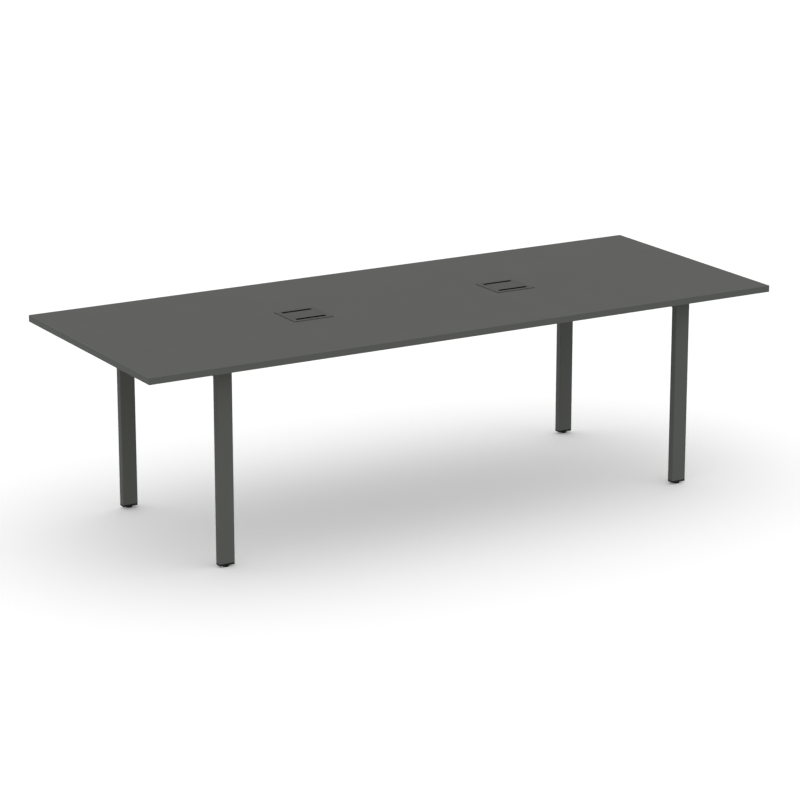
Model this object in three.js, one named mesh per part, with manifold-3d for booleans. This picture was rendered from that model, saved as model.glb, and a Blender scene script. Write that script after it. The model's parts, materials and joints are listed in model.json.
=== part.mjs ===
// Conference table: an edge-banded board with two lidded cable ports, on two leg frames joined by long beams.
// Millimetres. X runs along the table, Y across it from front to rear, Z up from the floor.
import * as THREE from "three";
import { mergeVertices } from "three/addons/utils/BufferGeometryUtils.js";
import Module from "manifold-3d";

const wasm = await Module();
wasm.setup();

// Table as a whole
const TABLE_LENGTH = 2600;
const TABLE_WIDTH = 1000;
const TABLE_HEIGHT = 758;

// Board and the edging strips glued round it
const BOARD_THICKNESS = 25;
const EDGE_BAND_THICKNESS = 2;

// Clearance between pieces that fit into each other
const FIT_GAP = 0.3;

// Legs: rectangular steel tubes, set in from the ends and from the long sides of the table
const LEG_WIDTH = 60;
const LEG_DEPTH = 30;
const LEG_WALL = 2;
const LEG_CORNER_RADIUS = 3;
const LEG_END_INSET = 302;
const LEG_SIDE_INSET = 92;

// Feet: a round pad on a threaded stud, which screws into a nut in the plug that closes the tube
const FOOT_TRAVEL = 12;
const PAD_DIAMETER = 25;
const PAD_HEIGHT = 7;
const PAD_CHAMFER = 1.5;
const PAD_FLOOR = 2.7;
const PAD_TO_CAP = 0.5;
const STUD_DIAMETER = 8;
const STUD_SPARE_THREAD = 3;
const NUT_ACROSS_FLATS = 13;
const NUT_HEIGHT = 6.5;
const CAP_FLANGE_HEIGHT = 7;
const CAP_PLUG_HEIGHT = 24;
const CAP_RIM_ABOVE_NUT = 1;

// Cross rails: as wide as the legs that they join
const RAIL_HEIGHT = 40;
const RAIL_WALL = 2;
const RAIL_CORNER_RADIUS = 3;
const RAIL_TAB_SPACING = 200;

// Long beams, seated in brackets on the rails
const BEAM_HEIGHT = 35;
const BEAM_WIDTH = 20;
const BEAM_WALL = 2;
const BEAM_CORNER_RADIUS = 2;
const BEAM_SPACING = 440;
const BEAM_END_GAP = 0.5;
const BEAM_TAB_SPACING = 1300;
const BRACKET_LENGTH = 30;
const BRACKET_PLATE = 3;
const BRACKET_TOP_GAP = 2;
const BOLT_DIAMETER = 8;
const BOLT_HEAD_ACROSS_FLATS = 13;
const BOLT_HEAD_HEIGHT = 5.3;
const BOLT_END = 2;
const WELD_NUT_HEIGHT = 6.5;

// Screw tabs welded to the rails and beams, and the screws that hold the board down
const TAB_LENGTH = 30;
const TAB_REACH = 24;
const TAB_THICKNESS = 3;
const SCREW_DIAMETER = 4;
const SCREW_HEAD_DIAMETER = 8;
const SCREW_HEAD_HEIGHT = 2.5;
const SCREW_HEAD_FLAT_DIAMETER = 5.6;
const SCREW_HEAD_RIM_HEIGHT = 1;
const SCREW_BITE = 18;
const SCREW_TIP = 4;

// Cable ports: a plate let into a shallow recess of the board, with a lid between two cable slots
const PORT_SPACING = 866;
const PORT_SIZE = 163;
const PORT_CORNER_RADIUS = 3;
const PORT_OPENING_LENGTH = 123;
const PORT_OPENING_DEPTH = 127;
const PORT_RECESS_DEPTH = 1.5;
const PORT_RECESS_GAP = 0.5;
const BEZEL_THICKNESS = 0.5;
const COLLAR_RIM = 1.2;
const COLLAR_WALL = 3;
const COLLAR_BELOW_BOARD = 10;
const CUTOUT_GAP = 1;
const SLOT_WIDTH = 18;

// Port lid and its hinge
const LID_THICKNESS = 2;
const LID_SIDE_GAP = 0.5;
const LID_CORNER_RADIUS = 1;
const HINGE_FROM_LID_EDGE = 10.5;
const HINGE_BELOW_LID = 4;
const HINGE_EAR_RADIUS = 4;
const HINGE_EAR_THICKNESS = 3;
const HINGE_EAR_FROM_SIDE = 0.5;
const HINGE_PIN_DIAMETER = 3;
const HINGE_PIN_INSIDE = 1;
const LEDGE_REACH = 4;
const LEDGE_LENGTH = 20;
const LEDGE_HEIGHT = 3;
const LEDGE_FROM_LID_EDGE = 8.5;

// Box under each port, and the socket block that stands in it
const BOX_HEIGHT = 85;
const BOX_WALL = 1.5;
const BOX_TO_COLLAR = 3;
const BOX_FLANGE_REACH = 22;
const BOX_FLANGE_LENGTH = 60;
const CABLE_EXIT_WIDTH = 60;
const CABLE_EXIT_HEIGHT = 24;
const CABLE_EXIT_SILL = 12;
const BLOCK_LENGTH = 118;
const BLOCK_DEPTH = 50;
const BLOCK_HEIGHT = 40;
const BLOCK_CORNER_RADIUS = 4;
const SOCKET_SPACING = 50;
const SOCKET_DIAMETER = 39;
const SOCKET_DEPTH = 15;
const SOCKET_PIN_SPACING = 19;
const SOCKET_PIN_DIAMETER = 5;
const SOCKET_PIN_DEPTH = 10;
const GLAND_DIAMETER = 16;
const GLAND_LENGTH = 8;
const GLAND_HOLE_DIAMETER = 5;
const GLAND_HEIGHT = 14;

// Roundness of the model, and how far a cutting tool runs past the face that it cuts
const ARC_STEPS = 2;
const ROUND_SIDES = 20;
const SMALL_ROUND_SIDES = 8;
const OVERRUN = 1;

// Heights and places that follow from the sizes above
const BOARD_UNDERSIDE = TABLE_HEIGHT - BOARD_THICKNESS;
const LEG_X = TABLE_LENGTH / 2 - LEG_END_INSET - LEG_WIDTH / 2;
const LEG_Y = TABLE_WIDTH / 2 - LEG_SIDE_INSET - LEG_DEPTH / 2;
const CAP_BOTTOM = PAD_HEIGHT + PAD_TO_CAP;
const LEG_BOTTOM = CAP_BOTTOM + CAP_FLANGE_HEIGHT;
const NUT_BOTTOM = LEG_BOTTOM + CAP_PLUG_HEIGHT - CAP_RIM_ABOVE_NUT - NUT_HEIGHT;
const STUD_TOP = NUT_BOTTOM + NUT_HEIGHT + FOOT_TRAVEL + STUD_SPARE_THREAD;
const RAIL_LENGTH = 2 * LEG_Y - LEG_DEPTH;
const RAIL_INNER_FACE = LEG_X - LEG_WIDTH / 2;
const BEAM_Y = BEAM_SPACING / 2;
const BOLT_X = RAIL_INNER_FACE - BRACKET_LENGTH / 2;
const PORT_PROUD = COLLAR_RIM + BEZEL_THICKNESS;
const COLLAR_OUTER_LENGTH = PORT_OPENING_LENGTH + 2 * COLLAR_WALL;
const COLLAR_OUTER_DEPTH = PORT_OPENING_DEPTH + 2 * COLLAR_WALL;
const LID_LENGTH = PORT_OPENING_LENGTH - 2 * LID_SIDE_GAP;
const LID_DEPTH = PORT_OPENING_DEPTH - 2 * SLOT_WIDTH;
const LID_UNDERSIDE = PORT_PROUD - LID_THICKNESS;
const HINGE_Y = LID_DEPTH / 2 - HINGE_FROM_LID_EDGE;
const HINGE_Z = LID_UNDERSIDE - HINGE_BELOW_LID;
const EAR_X = LID_LENGTH / 2 - HINGE_EAR_FROM_SIDE - HINGE_EAR_THICKNESS;
const PIN_INNER_END = EAR_X - HINGE_PIN_INSIDE;
const PIN_OUTER_END = PORT_OPENING_LENGTH / 2 + COLLAR_WALL - FIT_GAP;
const BOX_LENGTH = COLLAR_OUTER_LENGTH + 2 * (BOX_TO_COLLAR + BOX_WALL);
const BOX_DEPTH = COLLAR_OUTER_DEPTH + 2 * (BOX_TO_COLLAR + BOX_WALL);
const BOX_SCREW_X = BOX_LENGTH / 2 + BOX_FLANGE_REACH / 2;
const RAIL_SCREW_X = RAIL_INNER_FACE - TAB_REACH / 2;
const BEAM_SCREW_Y = BEAM_Y - BEAM_WIDTH / 2 - TAB_REACH / 2;

const laminate = new THREE.MeshStandardMaterial({ color: 0x616360, roughness: 0.55, metalness: 0 });
const edging = new THREE.MeshStandardMaterial({ color: 0x5c5e5b, roughness: 0.5, metalness: 0 });
const paintedSteel = new THREE.MeshStandardMaterial({ color: 0x575956, roughness: 0.5, metalness: 0.2 });
const portPaint = new THREE.MeshStandardMaterial({ color: 0x5d5f5c, roughness: 0.45, metalness: 0.2 });
const blackPlastic = new THREE.MeshStandardMaterial({ color: 0x1c1c1d, roughness: 0.6, metalness: 0 });
const zincSteel = new THREE.MeshStandardMaterial({ color: 0xa9abad, roughness: 0.35, metalness: 1 });
const sheetSteel = new THREE.MeshStandardMaterial({ color: 0x2a2b2c, roughness: 0.6, metalness: 0.3 });

// A rectangle with rounded corners, centred on the origin.
function roundedRectangle(width, height, radius) {
  const x = width / 2 - radius;
  const y = height / 2 - radius;
  const quarter = Math.PI / 2;
  const shape = new THREE.Shape();
  shape.absarc(x, y, radius, 0, quarter);
  shape.absarc(-x, y, radius, quarter, 2 * quarter);
  shape.absarc(-x, -y, radius, 2 * quarter, 3 * quarter);
  shape.absarc(x, -y, radius, 3 * quarter, 4 * quarter);
  shape.closePath();
  return shape;
}

// The corner radius inside a tube: the outer radius less the wall, and never quite sharp.
function boreRadius(radius, wall) {
  return Math.max(radius - wall, wall / 4);
}

// The outline of a rectangular tube: its bore keeps the same wall all round.
function tubeOutline(width, height, radius, wall) {
  const outline = roundedRectangle(width, height, radius);
  outline.holes.push(roundedRectangle(width - 2 * wall, height - 2 * wall, boreRadius(radius, wall)));
  return outline;
}

// A regular hexagon of the given width across its flats.
function hexagon(acrossFlats) {
  const radius = acrossFlats / Math.sqrt(3);
  const corners = Array.from({ length: 6 }, (_, i) => {
    const angle = (i * Math.PI) / 3;
    return new THREE.Vector2(radius * Math.cos(angle), radius * Math.sin(angle));
  });
  return new THREE.Shape(corners);
}

// An outline carried up Z from the given height.
function prism(outline, bottom, height) {
  const settings = { depth: height, bevelEnabled: false, curveSegments: ARC_STEPS };
  return new THREE.ExtrudeGeometry(outline, settings).translate(0, 0, bottom);
}

// A block given by the low and high corners of each axis.
function block([x0, x1], [y0, y1], [z0, z1]) {
  const geometry = new THREE.BoxGeometry(x1 - x0, y1 - y0, z1 - z0);
  return geometry.translate((x0 + x1) / 2, (y0 + y1) / 2, (z0 + z1) / 2);
}

// An upright cylinder on the Z axis.
function rod(diameter, bottom, height, sides = ROUND_SIDES) {
  const geometry = new THREE.CylinderGeometry(diameter / 2, diameter / 2, height, sides);
  return geometry.rotateX(Math.PI / 2).translate(0, 0, bottom + height / 2);
}

// A profile of [radius, height] points turned round the Z axis.
function turned(profile, sides) {
  const points = profile.map(([radius, height]) => new THREE.Vector2(radius, height));
  return new THREE.LatheGeometry(points, sides).rotateX(Math.PI / 2);
}

// A closed geometry as a solid for cutting and joining.
function solid(geometry) {
  const bare = geometry.clone();
  bare.deleteAttribute("normal");
  bare.deleteAttribute("uv");
  const merged = mergeVertices(bare);
  const corners = merged.index.array;
  const triangles = [];
  for (let i = 0; i < corners.length; i += 3) {
    const [a, b, c] = corners.slice(i, i + 3);
    if (a !== b && b !== c && c !== a) triangles.push(a, b, c);
  }
  const vertProperties = merged.attributes.position.array;
  const triVerts = new Uint32Array(triangles);
  return new wasm.Manifold(new wasm.Mesh({ numProp: 3, vertProperties, triVerts }));
}

// The joined pieces less the cutting tools, as a geometry.
function carve(pieces, tools = []) {
  let made = pieces.map(solid).reduce((whole, piece) => whole.add(piece));
  for (const tool of tools) made = made.subtract(solid(tool));
  const { vertProperties, triVerts } = made.getMesh();
  const geometry = new THREE.BufferGeometry();
  geometry.setAttribute("position", new THREE.BufferAttribute(vertProperties, 3));
  geometry.setIndex(new THREE.BufferAttribute(triVerts, 1));
  geometry.computeVertexNormals();
  return geometry;
}

// A named piece of the table at a place in its group.
function piece(name, geometry, material, x = 0, y = 0, z = 0) {
  const mesh = new THREE.Mesh(geometry, material);
  mesh.name = name;
  mesh.position.set(x, y, z);
  return mesh;
}

// A hole up into the underside of the board for a screw at the given place.
function pilotHole(x, y) {
  const diameter = SCREW_DIAMETER + 2 * FIT_GAP;
  const height = SCREW_BITE + FIT_GAP + OVERRUN;
  return rod(diameter, BOARD_UNDERSIDE - OVERRUN, height, SMALL_ROUND_SIDES).translate(x, y, 0);
}

// The board, with a recess and a cut-out for each port and a pilot hole for each screw.
function boardGeometry() {
  const halfLength = TABLE_LENGTH / 2 - EDGE_BAND_THICKNESS;
  const halfWidth = TABLE_WIDTH / 2 - EDGE_BAND_THICKNESS;
  const tools = [];
  for (const side of [-1, 1]) {
    const portX = (side * PORT_SPACING) / 2;
    const recessSize = PORT_SIZE + 2 * PORT_RECESS_GAP;
    const recess = roundedRectangle(recessSize, recessSize, PORT_CORNER_RADIUS + PORT_RECESS_GAP);
    const cutX = COLLAR_OUTER_LENGTH / 2 + CUTOUT_GAP;
    const cutY = COLLAR_OUTER_DEPTH / 2 + CUTOUT_GAP;
    const cutZ = [BOARD_UNDERSIDE - OVERRUN, TABLE_HEIGHT + OVERRUN];
    const recessFloor = TABLE_HEIGHT - PORT_RECESS_DEPTH;
    tools.push(prism(recess, recessFloor, PORT_RECESS_DEPTH + OVERRUN).translate(portX, 0, 0));
    tools.push(block([portX - cutX, portX + cutX], [-cutY, cutY], cutZ));
    tools.push(pilotHole(portX - BOX_SCREW_X, 0), pilotHole(portX + BOX_SCREW_X, 0));
    for (const end of [-1, 1]) {
      tools.push(pilotHole(side * RAIL_SCREW_X, (end * RAIL_TAB_SPACING) / 2));
      tools.push(pilotHole((side * BEAM_TAB_SPACING) / 2, end * BEAM_SCREW_Y));
    }
  }
  const board = block([-halfLength, halfLength], [-halfWidth, halfWidth], [BOARD_UNDERSIDE, TABLE_HEIGHT]);
  return carve([board], tools);
}

// The board and its four edging strips: the long strips cover the ends of the short ones.
function topGroup() {
  const group = new THREE.Group();
  const x = TABLE_LENGTH / 2;
  const y = TABLE_WIDTH / 2;
  const innerX = x - EDGE_BAND_THICKNESS;
  const innerY = y - EDGE_BAND_THICKNESS;
  const height = [BOARD_UNDERSIDE, TABLE_HEIGHT];
  group.add(
    piece("tabletop_panel", boardGeometry(), laminate),
    piece("edge_band_front", block([-x, x], [-y, -innerY], height), edging),
    piece("edge_band_rear", block([-x, x], [innerY, y], height), edging),
    piece("edge_band_left", block([-x, -innerX], [-innerY, innerY], height), edging),
    piece("edge_band_right", block([innerX, x], [-innerY, innerY], height), edging),
  );
  return group;
}

// The plug that closes a leg: its flange continues the tube, and a hexagonal pocket holds the nut.
function capGeometry() {
  const plugHeight = CAP_FLANGE_HEIGHT + CAP_PLUG_HEIGHT;
  const boreWidth = LEG_WIDTH - 2 * LEG_WALL;
  const boreDepth = LEG_DEPTH - 2 * LEG_WALL;
  const plugRadius = boreRadius(LEG_CORNER_RADIUS, LEG_WALL);
  const plug = roundedRectangle(boreWidth - 2 * FIT_GAP, boreDepth - 2 * FIT_GAP, plugRadius);
  const flange = roundedRectangle(LEG_WIDTH, LEG_DEPTH, LEG_CORNER_RADIUS);
  const pocketFloor = NUT_BOTTOM - CAP_BOTTOM;
  const pocket = prism(hexagon(NUT_ACROSS_FLATS + 2 * FIT_GAP), pocketFloor, plugHeight);
  const hole = rod(STUD_DIAMETER + 2 * FIT_GAP, -OVERRUN, plugHeight);
  return carve([prism(flange, 0, CAP_FLANGE_HEIGHT), prism(plug, 0, plugHeight)], [pocket, hole]);
}

// The hexagonal nut held in the plug.
function nutGeometry() {
  const hole = rod(STUD_DIAMETER + 2 * FIT_GAP, -OVERRUN, NUT_HEIGHT + 2 * OVERRUN);
  return carve([prism(hexagon(NUT_ACROSS_FLATS), 0, NUT_HEIGHT)], [hole]);
}

// The round pad, with chamfered edges and a blind hole for the stud.
function padGeometry() {
  const radius = PAD_DIAMETER / 2;
  const holeRadius = STUD_DIAMETER / 2 + FIT_GAP;
  const profile = [
    [0, 0],
    [radius - PAD_CHAMFER, 0],
    [radius, PAD_CHAMFER],
    [radius, PAD_HEIGHT - PAD_CHAMFER],
    [radius - PAD_CHAMFER, PAD_HEIGHT],
    [holeRadius, PAD_HEIGHT],
    [holeRadius, PAD_FLOOR],
    [0, PAD_FLOOR],
  ];
  return turned(profile, ROUND_SIDES);
}

// One leg with its plug, nut and foot.
function legGroup(place, x, y) {
  const group = new THREE.Group();
  group.position.set(x, y, 0);
  const tube = tubeOutline(LEG_WIDTH, LEG_DEPTH, LEG_CORNER_RADIUS, LEG_WALL);
  const studBottom = PAD_FLOOR + FIT_GAP;
  const stud = rod(STUD_DIAMETER, studBottom, STUD_TOP - studBottom);
  group.add(
    piece(`leg_${place}`, prism(tube, LEG_BOTTOM, BOARD_UNDERSIDE - LEG_BOTTOM), paintedSteel),
    piece(`end_cap_${place}`, capGeometry(), blackPlastic, 0, 0, CAP_BOTTOM),
    piece(`foot_nut_${place}`, nutGeometry(), zincSteel, 0, 0, NUT_BOTTOM),
    piece(`foot_stud_${place}`, stud, zincSteel),
    piece(`foot_pad_${place}`, padGeometry(), blackPlastic),
  );
  return group;
}

// A screw pointing up, with the underside of its head at height zero; the grip is what it holds to the board.
function screwGeometry(grip) {
  const headRadius = SCREW_HEAD_DIAMETER / 2;
  const radius = SCREW_DIAMETER / 2;
  const length = grip + SCREW_BITE;
  const profile = [
    [0, -SCREW_HEAD_HEIGHT],
    [SCREW_HEAD_FLAT_DIAMETER / 2, -SCREW_HEAD_HEIGHT],
    [headRadius, -SCREW_HEAD_RIM_HEIGHT],
    [headRadius, 0],
    [radius, 0],
    [radius, length - SCREW_TIP],
    [0, length],
  ];
  return turned(profile, SMALL_ROUND_SIDES);
}

// A hole up through a tab or flange for a screw at the given place.
function screwHole(x, y, bottom, thickness) {
  const height = thickness + 2 * OVERRUN;
  return rod(SCREW_DIAMETER + 2 * FIT_GAP, bottom - OVERRUN, height, SMALL_ROUND_SIDES).translate(x, y, 0);
}

// A cross rail in its own frame: the table's middle is towards -X and the board rests at height zero.
function railGeometry() {
  const inner = -LEG_WIDTH / 2;
  const weld = RAIL_WALL / 2;
  const pieces = [];
  const tools = [];
  const tube = prism(tubeOutline(LEG_WIDTH, RAIL_HEIGHT, RAIL_CORNER_RADIUS, RAIL_WALL), 0, RAIL_LENGTH);
  pieces.push(tube.rotateX(-Math.PI / 2).translate(0, -RAIL_LENGTH / 2, -RAIL_HEIGHT / 2));
  for (const end of [-1, 1]) {
    const tabY = (end * RAIL_TAB_SPACING) / 2;
    const tabSpan = [tabY - TAB_LENGTH / 2, tabY + TAB_LENGTH / 2];
    const tabBottom = -RAIL_CORNER_RADIUS - TAB_THICKNESS;
    pieces.push(block([inner - TAB_REACH, inner + weld], tabSpan, [tabBottom, -RAIL_CORNER_RADIUS]));
    tools.push(screwHole(inner - TAB_REACH / 2, tabY, tabBottom, TAB_THICKNESS));

    const seat = BEAM_WIDTH / 2 + FIT_GAP;
    const beamY = end * BEAM_Y;
    const along = [inner - BRACKET_LENGTH, inner + weld];
    const floorTop = -BEAM_HEIGHT - FIT_GAP;
    const upright = [floorTop - BRACKET_PLATE, -BRACKET_TOP_GAP - RAIL_CORNER_RADIUS];
    const floorSpan = [beamY - seat - BRACKET_PLATE, beamY + seat + BRACKET_PLATE];
    pieces.push(block(along, floorSpan, [floorTop - BRACKET_PLATE, floorTop]));
    pieces.push(block(along, [beamY - seat - BRACKET_PLATE, beamY - seat], upright));
    pieces.push(block(along, [beamY + seat, beamY + seat + BRACKET_PLATE], upright));

    const boltX = inner - BRACKET_LENGTH / 2;
    const reach = seat + BRACKET_PLATE + WELD_NUT_HEIGHT;
    const weldNut = prism(hexagon(BOLT_HEAD_ACROSS_FLATS), seat + weld, reach - seat - weld);
    const boltHole = rod(BOLT_DIAMETER + 2 * FIT_GAP, -reach - OVERRUN, 2 * (reach + OVERRUN));
    pieces.push(weldNut.rotateX((end * Math.PI) / 2).translate(boltX, beamY, -BEAM_HEIGHT / 2));
    tools.push(boltHole.rotateX(Math.PI / 2).translate(boltX, beamY, -BEAM_HEIGHT / 2));
  }
  return carve(pieces, tools);
}

// A long beam in its own frame: the table's middle is towards +Y and the board rests at height zero.
function beamGeometry() {
  const length = 2 * (RAIL_INNER_FACE - BEAM_END_GAP);
  const inner = BEAM_WIDTH / 2;
  const weld = BEAM_WALL / 2;
  const outline = tubeOutline(BEAM_HEIGHT, BEAM_WIDTH, BEAM_CORNER_RADIUS, BEAM_WALL);
  const tube = prism(outline, 0, length).rotateY(Math.PI / 2);
  const pieces = [tube.translate(-length / 2, 0, -BEAM_HEIGHT / 2)];
  const tools = [];
  for (const end of [-1, 1]) {
    const tabX = (end * BEAM_TAB_SPACING) / 2;
    const tabSpan = [tabX - TAB_LENGTH / 2, tabX + TAB_LENGTH / 2];
    const tabBottom = -BEAM_CORNER_RADIUS - TAB_THICKNESS;
    pieces.push(block(tabSpan, [inner - weld, inner + TAB_REACH], [tabBottom, -BEAM_CORNER_RADIUS]));
    tools.push(screwHole(tabX, inner + TAB_REACH / 2, tabBottom, TAB_THICKNESS));
    const hole = rod(BOLT_DIAMETER + 2 * FIT_GAP, -BEAM_WIDTH, 2 * BEAM_WIDTH).rotateX(Math.PI / 2);
    tools.push(hole.translate(end * BOLT_X, 0, -BEAM_HEIGHT / 2));
  }
  return carve(pieces, tools);
}

// A bolt lying along +Y, with the underside of its head at zero.
function boltGeometry() {
  const grip = BEAM_WIDTH + 2 * (FIT_GAP + BRACKET_PLATE) + WELD_NUT_HEIGHT;
  const head = prism(hexagon(BOLT_HEAD_ACROSS_FLATS), -BOLT_HEAD_HEIGHT, BOLT_HEAD_HEIGHT);
  const shank = rod(BOLT_DIAMETER, -BOLT_HEAD_HEIGHT / 2, BOLT_HEAD_HEIGHT / 2 + grip + BOLT_END);
  return carve([head, shank]).rotateX(-Math.PI / 2);
}

// A cross rail with its screws, drawn for the right-hand end and turned round for the left.
function railGroup(place, turn) {
  const group = new THREE.Group();
  group.rotation.z = turn;
  group.add(piece(`cross_rail_${place}`, railGeometry(), paintedSteel, LEG_X, 0, BOARD_UNDERSIDE));
  for (const [mark, end] of [["a", -1], ["b", 1]]) {
    const screw = screwGeometry(RAIL_CORNER_RADIUS + TAB_THICKNESS);
    const headSeat = BOARD_UNDERSIDE - RAIL_CORNER_RADIUS - TAB_THICKNESS;
    const screwY = (end * RAIL_TAB_SPACING) / 2;
    group.add(piece(`rail_screw_${place}_${mark}`, screw, zincSteel, RAIL_SCREW_X, screwY, headSeat));
  }
  return group;
}

// A long beam with its bolts and screws, drawn for the front and turned round for the rear.
function beamGroup(place, turn) {
  const group = new THREE.Group();
  group.rotation.z = turn;
  group.add(piece(`long_beam_${place}`, beamGeometry(), paintedSteel, 0, -BEAM_Y, BOARD_UNDERSIDE));
  const boltY = -BEAM_Y - BEAM_WIDTH / 2 - FIT_GAP - BRACKET_PLATE;
  const boltZ = BOARD_UNDERSIDE - BEAM_HEIGHT / 2;
  const screwZ = BOARD_UNDERSIDE - BEAM_CORNER_RADIUS - TAB_THICKNESS;
  for (const [mark, end] of [["a", -1], ["b", 1]]) {
    const screw = screwGeometry(BEAM_CORNER_RADIUS + TAB_THICKNESS);
    const screwX = (end * BEAM_TAB_SPACING) / 2;
    group.add(
      piece(`beam_bolt_${place}_${mark}`, boltGeometry(), zincSteel, end * BOLT_X, boltY, boltZ),
      piece(`beam_screw_${place}_${mark}`, screw, zincSteel, screwX, -BEAM_SCREW_Y, screwZ),
    );
  }
  return group;
}

// The square plate round the port's opening.
function bezelGeometry() {
  const outline = roundedRectangle(PORT_SIZE, PORT_SIZE, PORT_CORNER_RADIUS);
  const opening = roundedRectangle(PORT_OPENING_LENGTH, PORT_OPENING_DEPTH, LID_CORNER_RADIUS);
  outline.holes.push(opening);
  return prism(outline, COLLAR_RIM, BEZEL_THICKNESS);
}

// The black frame in the cut-out: a flange in the board's recess, walls, and two ledges for the closed lid.
function collarGeometry() {
  const bottom = -BOARD_THICKNESS - COLLAR_BELOW_BOARD;
  const flange = roundedRectangle(PORT_SIZE, PORT_SIZE, PORT_CORNER_RADIUS);
  const walls = [
    prism(flange, -PORT_RECESS_DEPTH, PORT_RECESS_DEPTH + COLLAR_RIM),
    block(
      [-COLLAR_OUTER_LENGTH / 2, COLLAR_OUTER_LENGTH / 2],
      [-COLLAR_OUTER_DEPTH / 2, COLLAR_OUTER_DEPTH / 2],
      [bottom, 0],
    ),
  ];
  const opening = roundedRectangle(PORT_OPENING_LENGTH, PORT_OPENING_DEPTH, LID_CORNER_RADIUS);
  const tools = [prism(opening, bottom - OVERRUN, COLLAR_RIM - bottom + 2 * OVERRUN)];
  const pinHole = rod(HINGE_PIN_DIAMETER + 2 * FIT_GAP, -PORT_SIZE, 2 * PORT_SIZE, SMALL_ROUND_SIDES);
  tools.push(pinHole.rotateY(Math.PI / 2).translate(0, HINGE_Y, HINGE_Z));
  const ledgeTop = LID_UNDERSIDE - FIT_GAP;
  const ledgeFront = -LID_DEPTH / 2 + LEDGE_FROM_LID_EDGE;
  const ledges = [-1, 1].map((side) => {
    const inside = side * (PORT_OPENING_LENGTH / 2 - LEDGE_REACH);
    const outside = side * (PORT_OPENING_LENGTH / 2 + COLLAR_WALL / 2);
    const across = [Math.min(inside, outside), Math.max(inside, outside)];
    return block(across, [ledgeFront, ledgeFront + LEDGE_LENGTH], [ledgeTop - LEDGE_HEIGHT, ledgeTop]);
  });
  return carve([carve(walls, tools), ...ledges]);
}

// The lid: a plate with two ears under its rear edge that turn on the hinge pins.
function lidGeometry() {
  const outline = roundedRectangle(LID_LENGTH, LID_DEPTH, LID_CORNER_RADIUS);
  const plate = prism(outline, LID_UNDERSIDE, LID_THICKNESS);
  const earOutline = new THREE.Shape();
  earOutline.moveTo(HINGE_EAR_RADIUS, HINGE_BELOW_LID + LID_THICKNESS / 2);
  earOutline.lineTo(-HINGE_EAR_RADIUS, HINGE_BELOW_LID + LID_THICKNESS / 2);
  earOutline.absarc(0, 0, HINGE_EAR_RADIUS, Math.PI, 2 * Math.PI);
  earOutline.closePath();
  const pieces = [plate];
  for (const inside of [-EAR_X - HINGE_EAR_THICKNESS, EAR_X]) {
    const ear = prism(earOutline, 0, HINGE_EAR_THICKNESS).rotateX(Math.PI / 2).rotateZ(Math.PI / 2);
    pieces.push(ear.translate(inside, HINGE_Y, HINGE_Z));
  }
  const pinHole = rod(HINGE_PIN_DIAMETER + 2 * FIT_GAP, -LID_LENGTH, 2 * LID_LENGTH, SMALL_ROUND_SIDES);
  return carve(pieces, [pinHole.rotateY(Math.PI / 2).translate(0, HINGE_Y, HINGE_Z)]);
}

// A hinge pin lying along X from inside an ear to inside the collar's wall.
function pinGeometry() {
  const length = PIN_OUTER_END - PIN_INNER_END;
  return rod(HINGE_PIN_DIAMETER, 0, length, SMALL_ROUND_SIDES).rotateY(Math.PI / 2);
}

// The sheet-steel box screwed under the board, with a way out for cables at the rear.
function boxGeometry() {
  const top = -BOARD_THICKNESS;
  const bottom = top - BOX_HEIGHT;
  const x = BOX_LENGTH / 2;
  const y = BOX_DEPTH / 2;
  const flangeX = x + BOX_FLANGE_REACH;
  const flangeY = BOX_FLANGE_LENGTH / 2;
  const exitX = CABLE_EXIT_WIDTH / 2;
  const exitBottom = bottom + BOX_WALL + CABLE_EXIT_SILL;
  const exitSpan = [exitBottom, exitBottom + CABLE_EXIT_HEIGHT];
  const pieces = [
    block([-x, x], [-y, y], [bottom, top]),
    block([-flangeX, flangeX], [-flangeY, flangeY], [top - BOX_WALL, top]),
  ];
  const tools = [
    block([-x + BOX_WALL, x - BOX_WALL], [-y + BOX_WALL, y - BOX_WALL], [bottom + BOX_WALL, top + OVERRUN]),
    block([-exitX, exitX], [y - BOX_WALL - OVERRUN, y + OVERRUN], exitSpan),
    screwHole(-BOX_SCREW_X, 0, top - BOX_WALL, BOX_WALL),
    screwHole(BOX_SCREW_X, 0, top - BOX_WALL, BOX_WALL),
  ];
  return carve(pieces, tools);
}

// A block with two round mains sockets on top and a cable gland at the rear. It stands on the box's floor.
function socketGeometry() {
  const body = prism(roundedRectangle(BLOCK_LENGTH, BLOCK_DEPTH, BLOCK_CORNER_RADIUS), 0, BLOCK_HEIGHT);
  const glandStart = BLOCK_DEPTH / 2 - BLOCK_CORNER_RADIUS;
  const gland = rod(GLAND_DIAMETER, glandStart, BLOCK_CORNER_RADIUS + GLAND_LENGTH);
  const glandHole = rod(GLAND_HOLE_DIAMETER, BLOCK_DEPTH / 2, GLAND_LENGTH + OVERRUN, SMALL_ROUND_SIDES);
  const tools = [glandHole.rotateX(-Math.PI / 2).translate(0, 0, GLAND_HEIGHT)];
  const socketFloor = BLOCK_HEIGHT - SOCKET_DEPTH;
  for (const side of [-1, 1]) {
    const socketX = (side * SOCKET_SPACING) / 2;
    tools.push(rod(SOCKET_DIAMETER, socketFloor, SOCKET_DEPTH + OVERRUN).translate(socketX, 0, 0));
    for (const pole of [-1, 1]) {
      const pinX = socketX + (pole * SOCKET_PIN_SPACING) / 2;
      const pinBottom = socketFloor - SOCKET_PIN_DEPTH;
      const pinHole = rod(SOCKET_PIN_DIAMETER, pinBottom, SOCKET_PIN_DEPTH + OVERRUN, SMALL_ROUND_SIDES);
      tools.push(pinHole.translate(pinX, 0, 0));
    }
  }
  return carve([body, gland.rotateX(-Math.PI / 2).translate(0, 0, GLAND_HEIGHT)], tools);
}

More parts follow.
